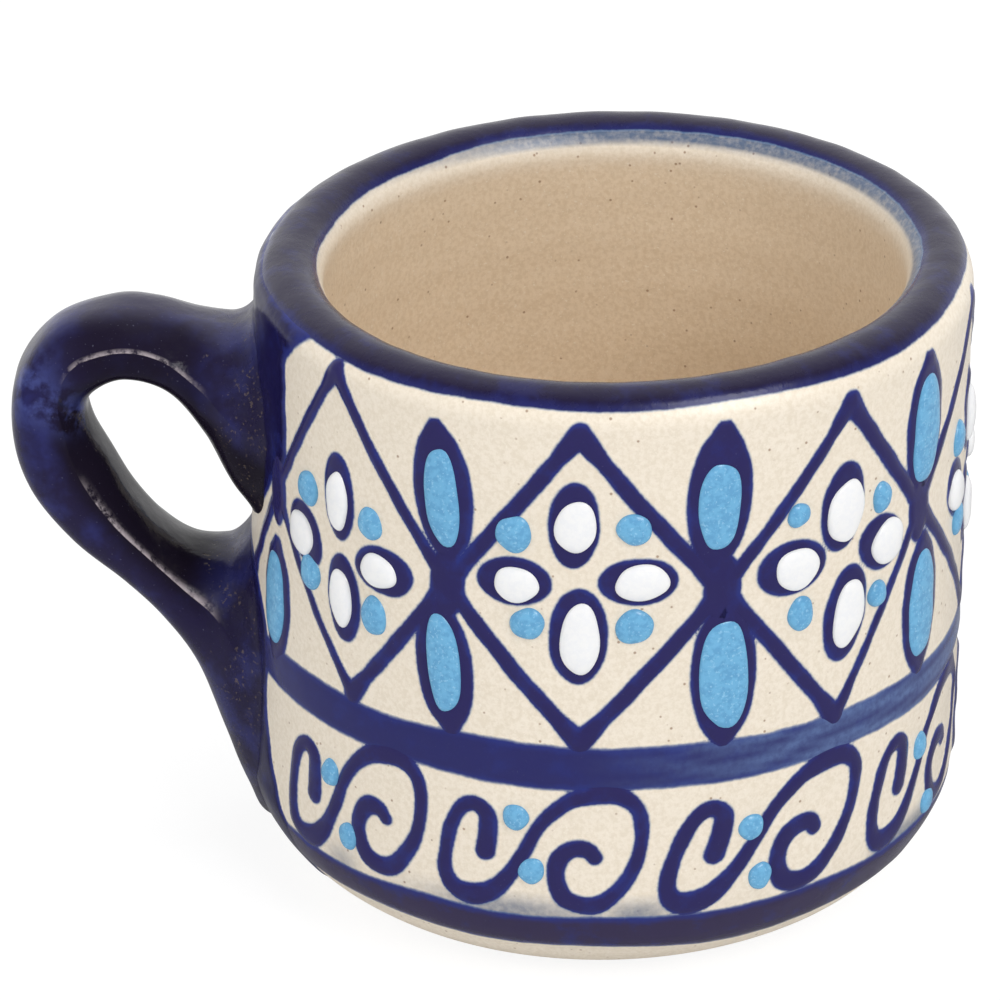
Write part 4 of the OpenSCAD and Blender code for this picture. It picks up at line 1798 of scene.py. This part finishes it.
    def welded(self, points: np.ndarray, middles: np.ndarray) -> np.ndarray:
        """Spread the loop's skin where it nears the wall, as smoothed clay does.

        Args:
            points: Points of the skin.
            middles: Middle of the cut that each point lies on.

        Returns:
            The moved points.
        """
        near = np.clip(1.0 - self.gap(points) / self.weld_r, 0.0, self.weld_near)
        spread = self.weld_r * (1.0 - np.sqrt(1.0 - near**2)) * self.weld_share
        away = points - middles
        out = points * np.array([1.0, 1.0, 0.0])
        out /= np.maximum(np.linalg.norm(out, axis=1, keepdims=True), 1e-6)
        away -= out * np.sum(away * out, axis=1, keepdims=True)
        away /= np.maximum(np.linalg.norm(away, axis=1, keepdims=True), 1e-6)
        moved = points + away * spread[:, None]
        return moved - out * ((self.gap(moved) - self.gap(points)) * np.sign(spread))[:, None]

    def build(self) -> None:
        """Build and dress the handle."""
        places = np.concatenate([[0.0], *(np.linspace(a, b, n + 1)[1:] for a, b, n in self.ring_spans)])
        stations = np.array([station.numbers() for station in self.stations])
        sides = 2 * self.half_points - 2
        angle = np.arange(sides) * 2.0 * math.pi / sides
        points, middles = [], []
        values: dict[str, list[np.ndarray]] = {"crease": [], "deeper_tone": [], "thin": []}
        for s in places.tolist():
            q = along_curve(stations, s)
            outer, inner = np.array([-q[0], q[1]]), np.array([-q[2], q[3]])
            middle, half = (outer + inner) / 2.0, (outer - inner) / 2.0
            half_t = float(np.linalg.norm(half))
            side, thick = self.section(q[4] / 2.0, half_t, float(smooth(*self.turn_over, s)))
            edge = middle + (half / half_t) * thick[:, None]
            lump = 0.14 * np.sin(1.0 * s + 2.0 * angle) + 0.06 * np.sin(2.1 * s - 3.0 * angle + 1.0)
            points.append(np.stack([edge[:, 0], side * (1.0 + lump / 10.0), edge[:, 1] + lump], axis=1))
            middles.append(np.tile([middle[0], 0.0, middle[1]], (sides, 1)))
            # Shade is painted on the loop's inner side and on the upper arm's front slope.
            below = smooth(0.5, -2.5, thick) * (1.0 - smooth(*self.inner_shade_end, s))
            slope = smooth(-0.5, -4.5, side) * plateau(self.slope_shade, s)
            on_bend = math.exp(-(((s - self.patch[0]) / self.patch[1]) ** 2))
            # The ridges carry pale wear that also paints a highlight.
            values["crease"].append(self.crease(s))
            values["deeper_tone"].append(np.maximum(below, self.slope_shade_share * slope))
            values["thin"].append(on_bend * smooth(0.0, -4.0, side))
        skin = self.welded(np.concatenate(points), np.concatenate(middles))
        faces = ring_faces(len(places), sides)
        faces += [list(range(sides))[::-1], list(range(len(skin) - sides, len(skin)))]
        carried = {key: np.concatenate(value) for key, value in values.items()}
        carried["root"] = np.clip(1.0 - self.gap(skin) / self.root_r, 0.0, 1.0)
        piece = Piece("pulled_handle", self.form.leaned(skin), faces, carried)
        piece.make(HandleFinish("handle_cobalt").material(), Slot.HANDLE, "handle")


@dataclass(frozen=True)
class Viewpoint:
    """The camera: where it stands, and where in the picture the cup's middle falls."""

    target: tuple[float, float, float] = (-0.99, 0.0, 37.5)
    distance: float = 683.8
    elevation: float = 27.35
    lens: float = 216.0
    film: float = 36.0
    picture_px: float = 1000.0
    target_px: tuple[float, float] = (606.3, 542.3)

    def place(self) -> None:
        """Make the camera and use it."""
        tilt = math.radians(self.elevation)
        back = Vector((0.0, -math.cos(tilt), math.sin(tilt)))
        right = Vector((1.0, 0.0, 0.0))
        straight = Matrix((right, back.cross(right), back)).transposed()
        px_per_lens = self.picture_px * self.lens / self.film
        middle = self.picture_px / 2.0
        across, down = self.target_px
        aim = Vector(((across - middle) / px_per_lens, (middle - down) / px_per_lens, -1.0))
        turn = aim.rotation_difference(Vector((0.0, 0.0, -1.0))).to_matrix()
        data = bpy.data.cameras.new("view")
        data.lens, data.sensor_width = self.lens, self.film
        data.clip_start, data.clip_end = 0.01, 20.0
        camera = bpy.data.objects.new("view", data)
        stand = Matrix.Translation((Vector(self.target) + back * self.distance) * MM)
        camera.matrix_world = stand @ (straight @ turn).to_4x4()
        bpy.context.scene.collection.objects.link(camera)
        bpy.context.scene.camera = camera


@dataclass(frozen=True)
class Lamp:
    """A soft box: its place and width in metres, its power in watts, and whether gloss shows it."""

    name: str
    place: tuple[float, float, float]
    width: float
    watts: float
    shows: bool = True

    def hang(self, target: Vector) -> None:
        """Make the lamp.

        Args:
            target: Point that it is turned to, in metres.
        """
        data = bpy.data.lights.new(self.name, "AREA")
        data.shape, data.size, data.energy = "DISK", self.width, self.watts
        lamp = bpy.data.objects.new(self.name, data)
        lamp.location = self.place
        lamp.rotation_euler = (target - Vector(self.place)).to_track_quat("-Z", "Y").to_euler()
        lamp.visible_glossy = self.shows
        bpy.context.scene.collection.objects.link(lamp)


@dataclass
class Studio:
    """Pale floor, white surroundings and soft lamps.

    Attributes:
        ambient: Strength of the surroundings' light.
        front_shine: Strength of the front half of what gloss shows, beside 1 for the back half.
        side_dark: How much darker the sides of what gloss shows are.
        floor_r: Radius of the floor in metres.
        floor_tone: Tone of the floor.
        floor_glow: Glow of the floor to the camera.
        glow_share: Share of that glow in what the camera sees of the floor.
        aim: Point that the lamps are turned to, in metres.
        lamps: The soft lamps.
    """

    ambient: float = 0.52
    front_shine: float = 0.12
    side_dark: float = 0.35
    floor_r: float = 4.0
    floor_tone: float = 0.9
    floor_glow: float = 1.1
    glow_share: float = 0.8
    aim: tuple[float, float, float] = (0.0, 0.0, 0.04)
    lamps: tuple[Lamp, ...] = (
        Lamp("key", (0.75, -1.0, 1.15), 0.9, 12.1),
        Lamp("fill", (-1.2, -0.7, 0.8), 1.0, 5.0, False),
        Lamp("top", (0.1, 0.1, 1.3), 0.8, 4.8, False),
    )

    def sky(self) -> None:
        """Make surroundings that the camera sees as white and that light the object softly."""
        world = bpy.data.worlds.new("surroundings")
        bpy.context.scene.world = world
        world.use_nodes = True
        nodes = Nodes(world.node_tree)
        light = nodes.tree.nodes["Background"]
        seen, shine = nodes.put("ShaderNodeBackground"), nodes.put("ShaderNodeBackground")
        for node in (light, seen, shine):
            node.inputs["Color"].default_value = (1.0, 1.0, 1.0, 1.0)
        light.inputs["Strength"].default_value = self.ambient
        ray = nodes.put("ShaderNodeLightPath").outputs
        way = nodes.put("ShaderNodeSeparateXYZ")
        nodes.feed(way.inputs[0], nodes.put("ShaderNodeTexCoord").outputs["Generated"])
        aside = nodes.sum_up("MULTIPLY", nodes.sum_up("ABSOLUTE", way.outputs["X"]), self.side_dark)
        depth = nodes.sum_up("SUBTRACT", way.outputs["Y"], aside)
        nodes.feed(shine.inputs["Strength"], nodes.step(depth, -0.4, 0.55, self.front_shine, 1.0))
        bent = nodes.sum_up("MAXIMUM", ray["Is Glossy Ray"], ray["Is Transmission Ray"])
        whole = nodes.shade(ray["Is Camera Ray"], nodes.shade(bent, light, shine), seen)
        nodes.feed(nodes.tree.nodes["World Output"].inputs["Surface"], whole.outputs[0])

    def floor_finish(self) -> bpy.types.Material:
        """Lay out the floor's material.

        Returns:
            The finished material.
        """
        material = bpy.data.materials.new("pale_floor")
        material.use_nodes = True
        nodes = Nodes(material.node_tree)
        nodes.tree.nodes.remove(nodes.tree.nodes["Principled BSDF"])
        matt, glow = nodes.put("ShaderNodeBsdfDiffuse"), nodes.put("ShaderNodeEmission")
        matt.inputs["Color"].default_value = (self.floor_tone, self.floor_tone, self.floor_tone, 1.0)
        ray = nodes.put("ShaderNodeLightPath").outputs
        place = nodes.put("ShaderNodeSeparateXYZ")
        nodes.feed(place.inputs[0], nodes.put("ShaderNodeNewGeometry").outputs["Position"])
        shine = nodes.step(place.outputs["Y"], -0.1, 0.4, self.front_shine, 1.0, "LINEAR")
        bright = nodes.sum_up("MULTIPLY", ray["Is Camera Ray"], self.floor_glow)
        nodes.feed(glow.inputs["Strength"], nodes.sum_up("MAXIMUM", bright, shine))
        seen = nodes.sum_up("MULTIPLY", ray["Is Camera Ray"], self.glow_share)
        share = nodes.sum_up("MAXIMUM", seen, ray["Is Glossy Ray"])
        whole = nodes.shade(share, matt, glow)
        nodes.feed(nodes.tree.nodes["Material Output"].inputs["Surface"], whole.outputs[0])
        return material

    def floor(self) -> None:
        """Make the pale floor, which stays white to the camera and keeps a soft shadow."""
        angles = np.radians(np.arange(0.0, 360.0, 3.75))
        ring = self.floor_r * np.stack([np.cos(angles), np.sin(angles), 0.0 * angles], axis=1)
        mesh = bpy.data.meshes.new("floor")
        mesh.from_pydata(ring.tolist(), [], [list(range(len(ring)))])
        mesh.materials.append(self.floor_finish())
        floor = bpy.data.objects.new("floor", mesh)
        bpy.context.scene.collection.objects.link(floor)

    def build(self) -> None:
        """Set up floor, surroundings and lamps."""
        bpy.context.scene.view_settings.view_transform = "Standard"
        self.sky()
        self.floor()
        for lamp in self.lamps:
            lamp.hang(Vector(self.aim))


def main() -> None:
    """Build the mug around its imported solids, and its studio."""
    logging.basicConfig(level=logging.INFO, format="%(name)s: %(message)s")
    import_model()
    _, cup_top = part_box("cup_body")
    form = CupForm(height=cup_top.z / MM, belly_r=cup_top.x / MM)
    decoration = Decoration(form)
    Cup(form, decoration).build()
    Handle(form).build()
    decoration.build()
    Studio().build()
    Viewpoint().place()


if __name__ == "__main__":
    main()
